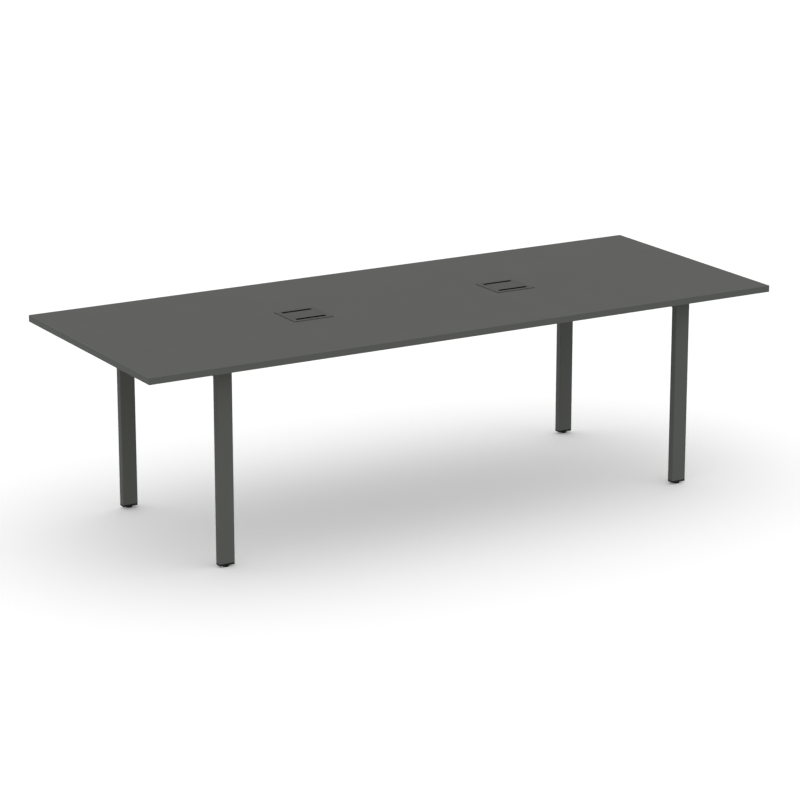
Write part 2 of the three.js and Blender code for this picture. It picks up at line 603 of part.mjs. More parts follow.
// One cable port in its own frame: the board's top face is at height zero.
function portGroup(place, x) {
  const group = new THREE.Group();
  group.position.set(x, 0, TABLE_HEIGHT);
  const boxFloor = -BOARD_THICKNESS - BOX_HEIGHT + BOX_WALL;
  const screwSeat = -BOARD_THICKNESS - BOX_WALL;
  group.add(
    piece(`port_bezel_${place}`, bezelGeometry(), portPaint),
    piece(`port_collar_${place}`, collarGeometry(), blackPlastic),
    piece(`port_lid_${place}`, lidGeometry(), portPaint),
    piece(`hinge_pin_${place}_a`, pinGeometry(), zincSteel, -PIN_OUTER_END, HINGE_Y, HINGE_Z),
    piece(`hinge_pin_${place}_b`, pinGeometry(), zincSteel, PIN_INNER_END, HINGE_Y, HINGE_Z),
    piece(`port_box_${place}`, boxGeometry(), sheetSteel),
    piece(`socket_block_${place}`, socketGeometry(), blackPlastic, 0, 0, boxFloor),
    piece(`box_screw_${place}_a`, screwGeometry(BOX_WALL), zincSteel, -BOX_SCREW_X, 0, screwSeat),
    piece(`box_screw_${place}_b`, screwGeometry(BOX_WALL), zincSteel, BOX_SCREW_X, 0, screwSeat),
  );
  return group;
}

const table = new THREE.Group();
table.add(
  topGroup(),
  legGroup("front_left", -LEG_X, -LEG_Y),
  legGroup("front_right", LEG_X, -LEG_Y),
  legGroup("rear_left", -LEG_X, LEG_Y),
  legGroup("rear_right", LEG_X, LEG_Y),
  railGroup("right", 0),
  railGroup("left", Math.PI),
  beamGroup("front", 0),
  beamGroup("rear", Math.PI),
  portGroup("left", -PORT_SPACING / 2),
  portGroup("right", PORT_SPACING / 2),
);

export default table;
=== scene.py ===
# %% [markdown]
# # A conference table
# A long grey meeting table: a laminate board with two lidded cable ports, on steel legs with levelling
# feet. The CAD model already holds every piece at its true size. This lesson loads it as a fixed frame and
# dresses it: softened edges, threads, folds and welds are worked out as surfaces, and each finish is built
# from nodes. Sizes are written in millimetres, as a workshop drawing gives them, and become metres once, at
# the end.

# %% Load the table
import json
import math
from typing import NamedTuple

import bpy
import numpy as np
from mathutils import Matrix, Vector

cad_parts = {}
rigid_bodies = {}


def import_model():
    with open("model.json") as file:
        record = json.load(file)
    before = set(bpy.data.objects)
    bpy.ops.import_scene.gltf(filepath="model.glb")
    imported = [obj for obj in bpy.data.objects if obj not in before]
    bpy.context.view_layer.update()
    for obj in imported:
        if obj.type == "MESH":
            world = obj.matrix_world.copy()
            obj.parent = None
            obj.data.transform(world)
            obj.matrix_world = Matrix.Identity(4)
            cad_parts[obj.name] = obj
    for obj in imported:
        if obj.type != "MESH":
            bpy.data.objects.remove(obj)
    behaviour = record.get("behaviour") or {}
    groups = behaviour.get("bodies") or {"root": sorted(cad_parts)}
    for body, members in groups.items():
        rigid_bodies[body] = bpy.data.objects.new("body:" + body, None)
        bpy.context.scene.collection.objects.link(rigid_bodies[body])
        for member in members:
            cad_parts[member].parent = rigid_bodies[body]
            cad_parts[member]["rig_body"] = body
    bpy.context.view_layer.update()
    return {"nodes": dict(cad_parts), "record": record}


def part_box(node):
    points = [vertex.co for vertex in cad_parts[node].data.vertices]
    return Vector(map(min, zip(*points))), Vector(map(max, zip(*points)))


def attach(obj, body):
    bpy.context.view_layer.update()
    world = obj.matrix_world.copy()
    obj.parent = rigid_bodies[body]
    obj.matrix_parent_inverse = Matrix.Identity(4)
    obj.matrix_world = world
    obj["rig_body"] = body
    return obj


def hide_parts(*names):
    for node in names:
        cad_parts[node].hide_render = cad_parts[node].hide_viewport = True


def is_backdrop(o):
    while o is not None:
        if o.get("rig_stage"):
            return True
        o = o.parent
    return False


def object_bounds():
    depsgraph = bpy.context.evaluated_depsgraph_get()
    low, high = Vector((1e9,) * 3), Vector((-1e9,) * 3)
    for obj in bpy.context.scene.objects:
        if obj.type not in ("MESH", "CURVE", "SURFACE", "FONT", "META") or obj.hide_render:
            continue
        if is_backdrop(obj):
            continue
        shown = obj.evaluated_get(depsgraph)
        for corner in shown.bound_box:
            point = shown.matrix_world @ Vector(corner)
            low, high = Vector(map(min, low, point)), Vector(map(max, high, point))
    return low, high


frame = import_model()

MILLIMETRE = 0.001

scene = bpy.context.scene
scene.view_settings.view_transform = "Standard"

# %% [markdown]
# ## Camera
# The table is seen from in front and from the left, a little above the top, through a long lens that keeps
# the far end nearly as large as the near one. The place and the angles come from matching the corners of
# the top and the feet of the legs. A camera could also be aimed by a constraint, but plain angles keep it
# free to move later.

# %% Camera
CAMERA_PLACE = (-5.598, -9.505, 3.513)
CAMERA_TURN = math.radians(-30.378)
CAMERA_TILT = math.radians(90 - 15.895)
CAMERA_LENS = 137.8
FILM_WIDTH = 36
FAR_CLIP = 400

lens = bpy.data.cameras.new("camera")
lens.sensor_width = FILM_WIDTH
lens.lens = CAMERA_LENS
lens.clip_end = FAR_CLIP
camera = bpy.data.objects.new("camera", lens)
camera.location = CAMERA_PLACE
camera.rotation_euler = (CAMERA_TILT, 0, CAMERA_TURN)
scene.collection.objects.link(camera)
scene.camera = camera
print("camera lens:", CAMERA_LENS, "mm")

# %% [markdown]
# ## Shader arithmetic
# A finish is a sum of small patterns, and node sums are tedious to wire by hand. Wrapping a socket in a
# small class lets an expression such as 1 - mask add its own Math nodes. Every other node comes from one
# method: its settings go in first, because they can change which sockets exist, and then a value or a link
# for each socket. A Mix node keeps sockets for every kind of data, so the ones for colours are named by
# number.

# %% Signals
MIX_FACTOR, MIX_LOW, MIX_HIGH, MIX_RESULT = 0, 6, 7, 2


class Signal:
    """One output of a node. Sums, differences and products with it add Math nodes to the same tree."""

    def __init__(self, socket):
        self.socket = socket
        self.tree = socket.id_data

    @staticmethod
    def node(tree, kind, settings=None, inputs=None, output=0):
        """Add a node: its settings first, then a value or a signal for each input. Gives one output."""
        made = tree.nodes.new(kind)
        for name, value in (settings or {}).items():
            setattr(made, name, value)
        for name, value in (inputs or {}).items():
            if isinstance(value, Signal):
                tree.links.new(value.socket, made.inputs[name])
            else:
                made.inputs[name].default_value = value
        return Signal(made.outputs[output])

    def math(self, operation, other, swapped=False):
        """A Math node of the signal and another value or signal, in that order unless swapped."""
        pair = {0: other, 1: self} if swapped else {0: self, 1: other}
        return Signal.node(self.tree, "ShaderNodeMath", {"operation": operation}, pair)

    def mix(self, low, high):
        """The colour low where the signal is 0, high where it is 1, and their mix in between."""
        settings = {"data_type": "RGBA", "clamp_factor": True}
        inputs = {MIX_FACTOR: self, MIX_LOW: low, MIX_HIGH: high}
        return Signal.node(self.tree, "ShaderNodeMix", settings, inputs, MIX_RESULT)

    def feed(self, node, socket):
        """Link the signal into a named socket of a node."""
        self.tree.links.new(self.socket, node.inputs[socket])

    def __add__(self, other):
        return self.math("ADD", other)

    def __sub__(self, other):
        return self.math("SUBTRACT", other)

    def __rsub__(self, other):
        return self.math("SUBTRACT", other, swapped=True)

    def __mul__(self, other):
        return self.math("MULTIPLY", other)

    __radd__ = __add__
    __rmul__ = __mul__


def blend(first, second, share):
    """Two signals mixed into one: the second one's share, and the first one for the rest."""
    return (1 - share) * first + share * second


print("shader arithmetic is ready")

# %% [markdown]
# ## Floor and light
# The table stands under an even, overcast kind of light that is strongest overhead, so the only shadow is
# the soft grey one below the board. Large lamps could give it, but a dome of light does so without an edge
# anywhere. The dome shows as plain white where it is seen directly or in a reflection.

# %% Studio light
SKY_AT_HORIZON = 0.57
SKY_OVERHEAD = 1.285
BRIGHTEST_SKY = (0.3, 0.3, 0.905)
SEEN_RAYS = ("Is Camera Ray", "Is Glossy Ray", "Is Transmission Ray")


def seen_rays(tree):
    """1 for rays from the camera and for rays that left a glossy or clear surface, otherwise 0."""
    rays = [Signal.node(tree, "ShaderNodeLightPath", output=kind) for kind in SEEN_RAYS]
    return (rays[0] + rays[1] + rays[2]).math("MINIMUM", 1)


world = bpy.data.worlds.new("studio")
world.use_nodes = True
scene.world = world
sky = world.node_tree
direction = Signal.node(sky, "ShaderNodeTexCoord", output="Generated")
dot_product = {"operation": "DOT_PRODUCT"}
inputs = {0: direction, 1: BRIGHTEST_SKY}
towards = Signal.node(sky, "ShaderNodeVectorMath", dot_product, inputs, "Value").math("MAXIMUM", 0)
glow = SKY_AT_HORIZON + (SKY_OVERHEAD - SKY_AT_HORIZON) * towards
seen = seen_rays(sky)
(seen + (1 - seen) * glow).feed(sky.nodes["Background"], "Strength")
sky.nodes["Background"].inputs["Color"].default_value = (1, 1, 1, 1)
print("light from", SKY_AT_HORIZON, "at the horizon to", SKY_OVERHEAD, "overhead")

# %% [markdown]
# The floor is a white sheet, large enough that its edge never shows. A paler paint alone would throw too
# much light up at the table, so the floor looks white where it is seen, and otherwise gives back a little
# light and adds a faint glow, which fills the shade round the rear legs.

# %% Studio floor
FLOOR_HALF_SIZE = 120
FLOOR_SHADE = 0.2
FLOOR_GLOW = 0.3
FLOOR_SHADE_SEEN = 0.955
FLOOR_GLOW_SEEN = 0.127


def grey(level):
    """A grey of the given level, from 0 for black to 1 for white."""
    return (level, level, level, 1)


floor_paint = bpy.data.materials.new("studio_floor")
floor_paint.use_nodes = True
tree = floor_paint.node_tree
tree.nodes.remove(tree.nodes["Principled BSDF"])
seen = seen_rays(tree)
tone = seen.mix(grey(FLOOR_SHADE), grey(FLOOR_SHADE_SEEN))
lift = seen.mix(grey(FLOOR_GLOW), grey(FLOOR_GLOW_SEEN))
matt = Signal.node(tree, "ShaderNodeBsdfDiffuse", inputs={"Color": tone})
shine = Signal.node(tree, "ShaderNodeEmission", inputs={"Color": lift})
both = Signal.node(tree, "ShaderNodeAddShader", inputs={0: matt, 1: shine})
both.feed(tree.nodes["Material Output"], "Surface")

corners = FLOOR_HALF_SIZE * np.array([[-1, -1, 0], [1, -1, 0], [1, 1, 0], [-1, 1, 0]])
floor_mesh = bpy.data.meshes.new("studio_floor")
floor_mesh.from_pydata(corners.tolist(), [], [[0, 1, 2, 3]])
floor_mesh.materials.append(floor_paint)
floor = bpy.data.objects.new("studio_floor", floor_mesh)
scene.collection.objects.link(floor)
floor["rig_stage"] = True
print("floor", 2 * FLOOR_HALF_SIZE, "m square")

# %% [markdown]
# ## Finishes
# Each finish starts from the colour that the table shows and adds what the eye needs up close: a slow drift
# of tone, a fine grain, and a small unevenness that catches the light. Image textures could carry all this,
# but patterns worked out from the place on the table never stretch or repeat.

# %% Patterns that the finishes share
PATTERN_DETAIL = 3
USUAL_GLOSS = 0.5


def shade(red, green, blue):
    """A colour given as a screen shows it, 0 to 255, as the linear value that a shader takes."""
    screen = np.array([red, green, blue]) / 255
    linear = np.where(screen <= 0.04045, screen / 12.92, ((screen + 0.055) / 1.055) ** 2.4)
    return (*linear.tolist(), 1)


class Finish:
    """A material with its node tree, its shader and the patterns that it is mixed from."""

    def __init__(self, name, gloss=USUAL_GLOSS, metal=0):
        self.material = bpy.data.materials.new(name)
        self.material.use_nodes = True
        self.tree = self.material.node_tree
        self.shader = self.tree.nodes["Principled BSDF"]
        self.shader.inputs["Specular IOR Level"].default_value = gloss
        self.shader.inputs["Metallic"].default_value = metal
        self.place = Signal.node(self.tree, "ShaderNodeTexCoord", output="Object")

    def cloud(self, grain, stretch=(1, 1, 1)):
        """Noise from 0 to 1 in blotches about grain millimetres across, longer where stretch is above 1."""
        scale = tuple(1 / (grain * longer * MILLIMETRE) for longer in stretch)
        spot = Signal.node(self.tree, "ShaderNodeMapping", inputs={"Vector": self.place, "Scale": scale})
        inputs = {"Vector": spot, "Scale": 1, "Detail": PATTERN_DETAIL}
        return Signal.node(self.tree, "ShaderNodeTexNoise", inputs=inputs)

    def colour(self, mask, low, high):
        """Base colour that runs from low to high as the mask runs from 0 to 1."""
        mask.mix(low, high).feed(self.shader, "Base Color")

    def roughness(self, mask, low, high):
        """Roughness that runs from low to high as the mask runs from 0 to 1."""
        (low + (high - low) * mask).feed(self.shader, "Roughness")

    def bump(self, height, depth):
        """Unevenness whose peaks stand depth millimetres above its hollows."""
        inputs = {"Height": height, "Distance": depth * MILLIMETRE, "Strength": 1}
        bumps = Signal.node(self.tree, "ShaderNodeBump", inputs=inputs, output="Normal")
        bumps.feed(self.shader, "Normal")


print("patterns are ready")

# %% [markdown]
# ### Laminate and edging
# The board is faced with a matt grey laminate whose pressed surface has a fine pearl grain. The plastic
# edging is the same grey, a touch smoother, and keeps faint lines along its length from being drawn through
# a die. Its colour is painted lighter than the laminate's, as painted light on the board's upright edges,
# which get less light than the top. A plain colour would match from afar. Grain a millimetre wide, and
# lines stretched far along the strip, hold up close too.

# %% Laminate and edging
laminate = Finish("grey_laminate", gloss=0.06)
drift = laminate.cloud(grain=180)
pearl = laminate.cloud(grain=1.1)
laminate.colour(blend(drift, pearl, share=0.55), low=shade(85, 86, 83), high=shade(92, 93, 91))
laminate.roughness(pearl, low=0.62, high=0.76)
laminate.bump(pearl, depth=0.03)

edging = Finish("grey_edging_painted_lighter", gloss=0.03)
drawn = edging.cloud(grain=0.7, stretch=(300, 300, 1))
speck = edging.cloud(grain=2.5)
# The edging's colours are painted lighter than the laminate's: painted light on the board's upright edges.
edging.colour(blend(drawn, speck, share=0.4), low=shade(100, 102, 99), high=shade(108, 110, 107))
edging.roughness(drawn, low=0.48, high=0.62)
edging.bump(drawn, depth=0.02)
print("board finishes:", laminate.material.name, edging.material.name)

# %% [markdown]
# ### Powder coat
# The steel is powder coated: the powder melts into a skin with a shallow orange-peel wave and tiny specks.
# The port plates carry a finer coat of nearly the same grey, and the hidden boxes a matt black one. The
# frame's coat is painted lighter than the plates', as painted light on the upright legs, which get less
# light than the flat plates. Three separate materials would repeat the same nodes, so one function makes
# them all.

# %% Powder coat
SPECKS_TO_A_WAVE = 5
WAVE_DULLS = 0.12


def powder_coat(name, low, high, peel, depth, dullness, gloss):
    """A painted metal skin: waves peel millimetres long, specks a fifth of that, and bumps of both."""
    coat = Finish(name, gloss)
    wave = coat.cloud(peel)
    specks = coat.cloud(peel / SPECKS_TO_A_WAVE)
    coat.colour(blend(wave, specks, share=0.5), low, high)
    coat.roughness(wave, dullness, dullness + WAVE_DULLS)
    coat.bump(blend(wave, specks, share=0.25), depth)
    return coat


# The frame's colours are painted lighter: painted light on the upright legs.
frame_coat_painted_lighter = powder_coat("grey_powder_coat_painted_lighter", low=shade(99, 101, 98), high=shade(109, 111, 108),
                         peel=2.2, depth=0.05, dullness=0.5, gloss=0.03)
port_coat = powder_coat("grey_port_coat", low=shade(81, 82, 79), high=shade(88, 89, 87),
                        peel=1.2, depth=0.025, dullness=0.62, gloss=0.05)
box_coat = powder_coat("black_box_coat", low=shade(36, 37, 38), high=shade(48, 49, 50),
                       peel=2.0, depth=0.05, dullness=0.55, gloss=0.2)
print("coats:", frame_coat_painted_lighter.material.name, port_coat.material.name, box_coat.material.name)

# %% [markdown]
# ### Black plastic and zinc
# Caps, pads, collars and socket blocks are moulded in black plastic with a fine sparked texture from the
# mould. Screws, studs and pins are zinc plated: bright metal with a cloudy, slightly warm bloom. Metal gets
# nearly all its look from what it reflects, so its roughness varies more than its colour does.

# %% Black plastic and zinc
plastic = Finish("black_moulded_plastic", gloss=0.2)
spark = plastic.cloud(grain=0.45)
bloom = plastic.cloud(grain=9)
plastic.colour(blend(spark, bloom, share=0.4), low=shade(17, 17, 18), high=shade(30, 30, 31))
plastic.roughness(spark, low=0.5, high=0.7)
plastic.bump(spark, depth=0.03)

zinc = Finish("zinc_plate", metal=1)
cloudy = zinc.cloud(grain=4)
fine = zinc.cloud(grain=0.3)
zinc.colour(cloudy, low=shade(160, 163, 166), high=shade(196, 193, 182))
zinc.roughness(fine, low=0.26, high=0.46)
zinc.bump(fine, depth=0.01)

FINISHES = {
    "laminate": laminate,
    "edging": edging,
    "painted_steel": frame_coat_painted_lighter,
    "port_paint": port_coat,
    "black_plastic": plastic,
    "sheet_steel": box_coat,
    "zinc_steel": zinc,
}
print("finishes:", ", ".join(FINISHES))

# %% [markdown]
# ## Outlines and surfaces
# Nearly every piece here is a stack of rings: outlines of the same number of points, each at its own
# height, joined by faces. The outline may change from ring to ring, so a round hole can grow into a square
# plate. Modelling by hand with loop cuts and bevels would also work, but rings keep each piece tied to its
# measured sizes.

# %% Outlines
CORNER_POINTS = 12
OUTLINE_POINTS = 4 * CORNER_POINTS
RIGHT = np.repeat([1, -1, -1, 1], CORNER_POINTS)
BACK = np.repeat([1, 1, -1, -1], CORNER_POINTS)
QUARTERS = [np.linspace(quarter, quarter + 1, CORNER_POINTS) for quarter in range(4)]
CORNER_TURN = np.concatenate(QUARTERS) * np.pi / 2
EVEN_TURN = np.arange(OUTLINE_POINTS) * 2 * np.pi / OUTLINE_POINTS


def rounded(width, depth, radius):
    """A rectangle with round corners: each corner's centre plus its radius turned through a quarter circle.
    The radius is one number, or one for each point of the outline."""
    x = RIGHT * (width / 2 - radius) + radius * np.cos(CORNER_TURN)
    y = BACK * (depth / 2 - radius) + radius * np.sin(CORNER_TURN)
    return np.stack([x, y], 1)


def polar(radius):
    """An outline about the middle: the radius times the cosine and the sine of an even turn. The radius is
    one number for a circle, or one for each point of the outline."""
    return np.stack([radius * np.cos(EVEN_TURN), radius * np.sin(EVEN_TURN)], 1)


def hexagon_radius(across_flats):
    """Distance to a hexagon's side: half its width across flats over the cosine of the turn from the middle
    of the nearest flat."""
    return across_flats / 2 / np.cos(EVEN_TURN % (np.pi / 3) - np.pi / 6)


print("outlines have", OUTLINE_POINTS, "points")

# %% [markdown]
# Rings become a piece in three moves. Stacking lifts each outline to its height. Softening rounds the
# corners of the section, the way a deburred edge is rounded: a Bevel modifier would do it too, but here
# each edge can have its own radius. Closing joins the rings with faces, over the ends or round into a tube.

# %% Rings
SOFT_STEPS = 3


def stacked(*rings):
    """A grid of rings from pairs of an outline and its height."""
    levels = [np.column_stack([outline, np.full(len(outline), height)]) for outline, height in rings]
    return np.stack(levels)


def softened(grid, reaches):
    """Round the section at each ring that has a reach: the corner plus the reach times the way back times
    (1 - sine) and the way on times (1 - cosine), as the angle runs through a quarter turn."""
    angle = np.linspace(0, np.pi / 2, SOFT_STEPS + 1)[:, None, None]
    way_back = np.roll(grid, 1, 0) - grid
    way_on = np.roll(grid, -1, 0) - grid
    way_back /= np.linalg.norm(way_back, axis=2, keepdims=True)
    way_on /= np.linalg.norm(way_on, axis=2, keepdims=True)
    rows = []
    for ring, back, on, reach in zip(grid, way_back, way_on, reaches):
        arc = ring + reach * (back * (1 - np.sin(angle)) + on * (1 - np.cos(angle)))
        rows.append(arc if reach else ring[None])
    return np.concatenate(rows)


print("rings are softened in", SOFT_STEPS, "steps")

# %% [markdown]
# A shell keeps its points and its faces together, so that it can be laid along another axis, turned or
# carried away as one thing. Blender's own transforms could do that, but a finished piece has to sit at the
# origin with its place in its mesh.


# %% Shells
class Shell(NamedTuple):
    """A closed surface: its points in millimetres, and patches of faces that number those points."""

    points: np.ndarray
    patches: list

    def along_x(self):
        """The shell, stacked upwards, laid along X: its own X becomes Y and its own Y becomes Z."""
        return Shell(np.roll(self.points, 1, 1), self.patches)

    def along_y(self):
        """The shell, stacked upwards, laid along Y: its own X becomes Z and its own Y becomes X."""
        return Shell(np.roll(self.points, 2, 1), self.patches)

    def half_turned(self):
        """The shell turned half round the Z axis."""
        return Shell(self.points * (-1, -1, 1), self.patches)

    def moved(self, x=0, y=0, z=0):
        """The shell carried to another place."""
        return Shell(self.points + (x, y, z), self.patches)


def closed(grid, tube=False):
    """A shell over a grid of rings: quads between neighbours, and either the last ring joined to the first
    or a fan over each end. Rings run anticlockwise about the way they are stacked, so that faces point
    outwards."""
    rows, columns = grid.shape[:2]
    row = np.arange(rows if tube else rows - 1)[:, None]
    column = np.arange(columns)
    beside = (column + 1) % columns
    above = (row + 1) % rows
    quads = np.stack([row * columns + column, row * columns + beside,
                      above * columns + beside, above * columns + column], -1).reshape(-1, 4)
    points = grid.reshape(-1, 3)
    if tube:
        return Shell(points, [quads])
    first_fan = np.stack([np.full(columns, len(points)), beside, column], 1)
    last_ring = (rows - 1) * columns
    last_fan = np.stack([np.full(columns, len(points) + 1), last_ring + column, last_ring + beside], 1)
    points = np.vstack([points, grid[0].mean(0), grid[-1].mean(0)])
    return Shell(points, [quads, first_fan, last_fan])


print("a shell has points and patches of faces")

# %% [markdown]
# Each finished piece stands for one CAD node. It takes the node's body, so that it moves as the node does,
# and the finish that the record names for it. Its whole arrays of points and faces go into one mesh.
# Weighted normals keep large faces flat beside their small round edges.

# %% Pieces
SHARP_ANGLE = math.radians(40)
SLOT_OF = {part["node"]: part["material_slot"] for part in frame["record"]["subparts"]}


def new_piece(name, shells, slot, body):
    """One mesh object from several shells, with its finish, riding on a body."""
    starts = np.cumsum([0] + [len(shell.points) for shell in shells])
    points = np.concatenate([shell.points for shell in shells]) * MILLIMETRE
    faces = []
    for shell, start in zip(shells, starts):
        for patch in shell.patches:
            faces += (patch + start).tolist()
    mesh = bpy.data.meshes.new(name)
    mesh.from_pydata(points.tolist(), [], faces)
    mesh.polygons.foreach_set("use_smooth", np.ones(len(faces), bool))
    mesh.set_sharp_from_angle(angle=SHARP_ANGLE)
    mesh.materials.append(FINISHES[slot].material)
    made = bpy.data.objects.new(name, mesh)
    scene.collection.objects.link(made)
    made.modifiers.new("flat_faces", "WEIGHTED_NORMAL").keep_sharp = True
    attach(made, body)
    return made


def dress(node, *shells):
    """A finished piece in the place of a CAD node."""
    made = new_piece(node + "_finished", shells, SLOT_OF[node], frame["nodes"][node]["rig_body"])
    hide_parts(node)


def span(node):
    """Lowest corner, highest corner and middle of a CAD node, in millimetres."""
    low, high = (np.array(corner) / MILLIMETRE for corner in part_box(node))
    return low, high, (low + high) / 2


print("finishes for", len(SLOT_OF), "CAD pieces are known")

# %% [markdown]
# ## Board
# The board is a plain slab of laminated chipboard with two cut-outs. It could be drawn again, but its CAD
# shape is right, so it keeps its mesh and gets the laminate. The moulded socket blocks below it keep theirs
# too.

# %% Board
for node in ("tabletop_panel", "socket_block_left", "socket_block_right"):
    kept = frame["nodes"][node].data
    kept.materials.clear()
    kept.materials.append(FINISHES[SLOT_OF[node]].material)
    print(node, "keeps its shape and gets", kept.materials[0].name)
BOARD_LOW, BOARD_HIGH, _ = span("tabletop_panel")
BOARD_UNDERSIDE, BOARD_TOP = BOARD_LOW[2], BOARD_HIGH[2]

# %% [markdown]
# ## Edging strips
# The strips are glued on and their outer edges are scraped to a small radius, so the rim of the table isn't
# sharp. A bevel on a box would round every edge alike. Here the section is drawn with a large radius
# outside and almost none inside, where the strip meets the board, and is then carried along the strip.

# %% Edging strips
OUTER_RADIUS = 1
INNER_RADIUS = 0.12
STRIP_CHAMFER = 0.4


def edging_strip(width, depth, outside, start, stop):
    """A strip stacked from start to stop: its section is round on the outside, which is given as a
    direction, and its end rings are drawn in by a small chamfer."""
    faces_out = RIGHT * outside[0] + BACK * outside[1] > 0
    full = rounded(width, depth, np.where(faces_out, OUTER_RADIUS, INNER_RADIUS))
    drawn_in = full * (1 - 2 * STRIP_CHAMFER / np.array([width, depth]))
    return closed(stacked((drawn_in, start), (full, start + STRIP_CHAMFER),
                          (full, stop - STRIP_CHAMFER), (drawn_in, stop)))


for side, outside in (("front", -1), ("rear", 1)):
    low, high, middle = span("edge_band_" + side)
    size = high - low
    shell = edging_strip(size[1], size[2], (outside, 0), low[0], high[0]).along_x()
    dress("edge_band_" + side, shell.moved(y=middle[1], z=middle[2]))
for side, outside in (("left", -1), ("right", 1)):
    low, high, middle = span("edge_band_" + side)
    size = high - low
    shell = edging_strip(size[2], size[0], (0, outside), low[1], high[1]).along_y()
    dress("edge_band_" + side, shell.moved(x=middle[0], z=middle[2]))
print("edging strips with a", OUTER_RADIUS, "mm outer radius")

# %% [markdown]
# ## Legs
# A leg is a rectangular steel tube with rounded corners, sawn square and deburred. A box with a Solidify
# modifier would give a wall, but not the tighter corners of the bore. Its section is drawn as a loop
# instead: up the outside, over the top of the wall, down the bore and back, so the tube is closed and has a
# real wall.

# %% Legs
LEG_RADIUS = 3
LEG_BORE_RADIUS = 1
LEG_WALL = 2
DEBURR = 0.3
PLACES = ("front_left", "front_right", "rear_left", "rear_right")


def tube(width, depth, radius, bore_radius, wall, start, stop):
    """A rectangular tube stacked from start to stop: four rings joined into a loop, with softened ends."""
    outside = rounded(width, depth, radius)
    bore = rounded(width - 2 * wall, depth - 2 * wall, bore_radius)
    rings = (outside, start), (outside, stop), (bore, stop), (bore, start)
    return closed(softened(stacked(*rings), [DEBURR] * 4), tube=True)


for place in PLACES:
    low, high, middle = span("leg_" + place)
    size = high - low
    shell = tube(size[0], size[1], LEG_RADIUS, LEG_BORE_RADIUS, LEG_WALL, low[2], high[2])
    dress("leg_" + place, shell.moved(x=middle[0], y=middle[1]))
print("four legs,", size[0], "by", size[1], "mm")

# %% [markdown]
# ## Hexagons
# Nuts and bolt heads are hexagons whose corners are turned off by a cone. A six-sided cylinder with a bevel
# comes close, but bevels the flats as well. Here each ring takes the smaller of two radii, the hexagon's
# and the cone's, which gives the curved chamfer of a real nut.

# %% Hexagons
NUT_CHAMFER = 0.6
CHAMFER_SLOPE = math.tan(math.radians(60))
CHAMFER_STEPS = np.linspace(0, 1, 5)


def hex_rows(across_flats, bottom, top, bottom_chamfer, top_chamfer):
    """Pairs of an outline and its height for a hexagon whose corners are turned off towards its ends: the
    smaller of the hexagon's radius and a cone that opens by the chamfer's slope."""
    from_bottom = bottom_chamfer * CHAMFER_STEPS
    from_top = top_chamfer * CHAMFER_STEPS[::-1]
    heights = np.concatenate([bottom + from_bottom, top - from_top])
    cone = across_flats / 2 + CHAMFER_SLOPE * np.concatenate([from_bottom, from_top])
    chamfer = np.repeat([bottom_chamfer, top_chamfer], len(CHAMFER_STEPS))
    limits = np.where(chamfer > 0, cone, across_flats)
    keep = np.concatenate([[True], np.diff(heights) > 0])
    hexagon = hexagon_radius(across_flats)
    rows = zip(limits[keep], heights[keep])
    return [(polar(np.minimum(hexagon, limit)), height) for limit, height in rows]


print("hexagons are chamfered by", NUT_CHAMFER, "mm")

# %% [markdown]
# ## Plugs and nuts
# Each tube is closed by a black plug that holds a nut for the levelling foot. Cutting a hexagonal pocket
# out of a block needs a boolean, which leaves ragged faces. The plug's rings change from a rectangle to a
# hexagon to a circle on the way in instead.

# %% Plugs and nuts
PLUG_SIZE = (55.4, 25.4)
PLUG_RADIUS = 1
FLANGE_HEIGHT = 7
FLANGE_SOFTNESS = 0.8
POCKET_ACROSS_FLATS = 13.6
CLEAR_HOLE_RADIUS = 4.3
CLEAR_HOLE = polar(CLEAR_HOLE_RADIUS)

for place in PLACES:
    low, high, middle = span("end_cap_" + place)
    nut_low, nut_high, _ = span("foot_nut_" + place)
    flange = rounded(high[0] - low[0], high[1] - low[1], LEG_RADIUS)
    plug = rounded(*PLUG_SIZE, PLUG_RADIUS)
    pocket = polar(hexagon_radius(POCKET_ACROSS_FLATS))
    shoulder = low[2] + FLANGE_HEIGHT
    rings = ((flange, low[2]), (flange, shoulder), (plug, shoulder), (plug, high[2]),
             (pocket, high[2]), (pocket, nut_low[2]), (CLEAR_HOLE, nut_low[2]), (CLEAR_HOLE, low[2]))
    grid = softened(stacked(*rings), (FLANGE_SOFTNESS, DEBURR, 0, PLUG_RADIUS, 0, 0, 0, DEBURR))
    dress("end_cap_" + place, closed(grid, tube=True).moved(x=middle[0], y=middle[1]))
    across_flats = nut_high[1] - nut_low[1]
    rows = hex_rows(across_flats, nut_low[2], nut_high[2], NUT_CHAMFER, NUT_CHAMFER)
    grid = stacked(*rows, (CLEAR_HOLE, nut_high[2]), (CLEAR_HOLE, nut_low[2]))
    dress("foot_nut_" + place, closed(grid, tube=True).moved(x=middle[0], y=middle[1]))
print("plugs and nuts for", len(PLACES), "feet, nuts", across_flats, "mm across flats")

# %% [markdown]
# ## Studs and pads
# A threaded stud runs in the nut and stands in a round pad, so the pad can be screwed down to meet an
# uneven floor. A Screw modifier makes threads, but leaves their ends open. Here the thread is one surface
# whose radius depends on the height and on the turn together, with a cone at each end to start it in the
# nut.

# %% Studs and pads
STUD_PITCH = 1.25
THREAD_DEPTH = 0.65
ROWS_PER_PITCH = 8
CREST_SLOPE = 1.7
CREST_SUNK = 0.35
PAD_EDGE = 1.5
PAD_SOFTNESS = 0.7
PAD_HOLE_FLOOR = 2.7


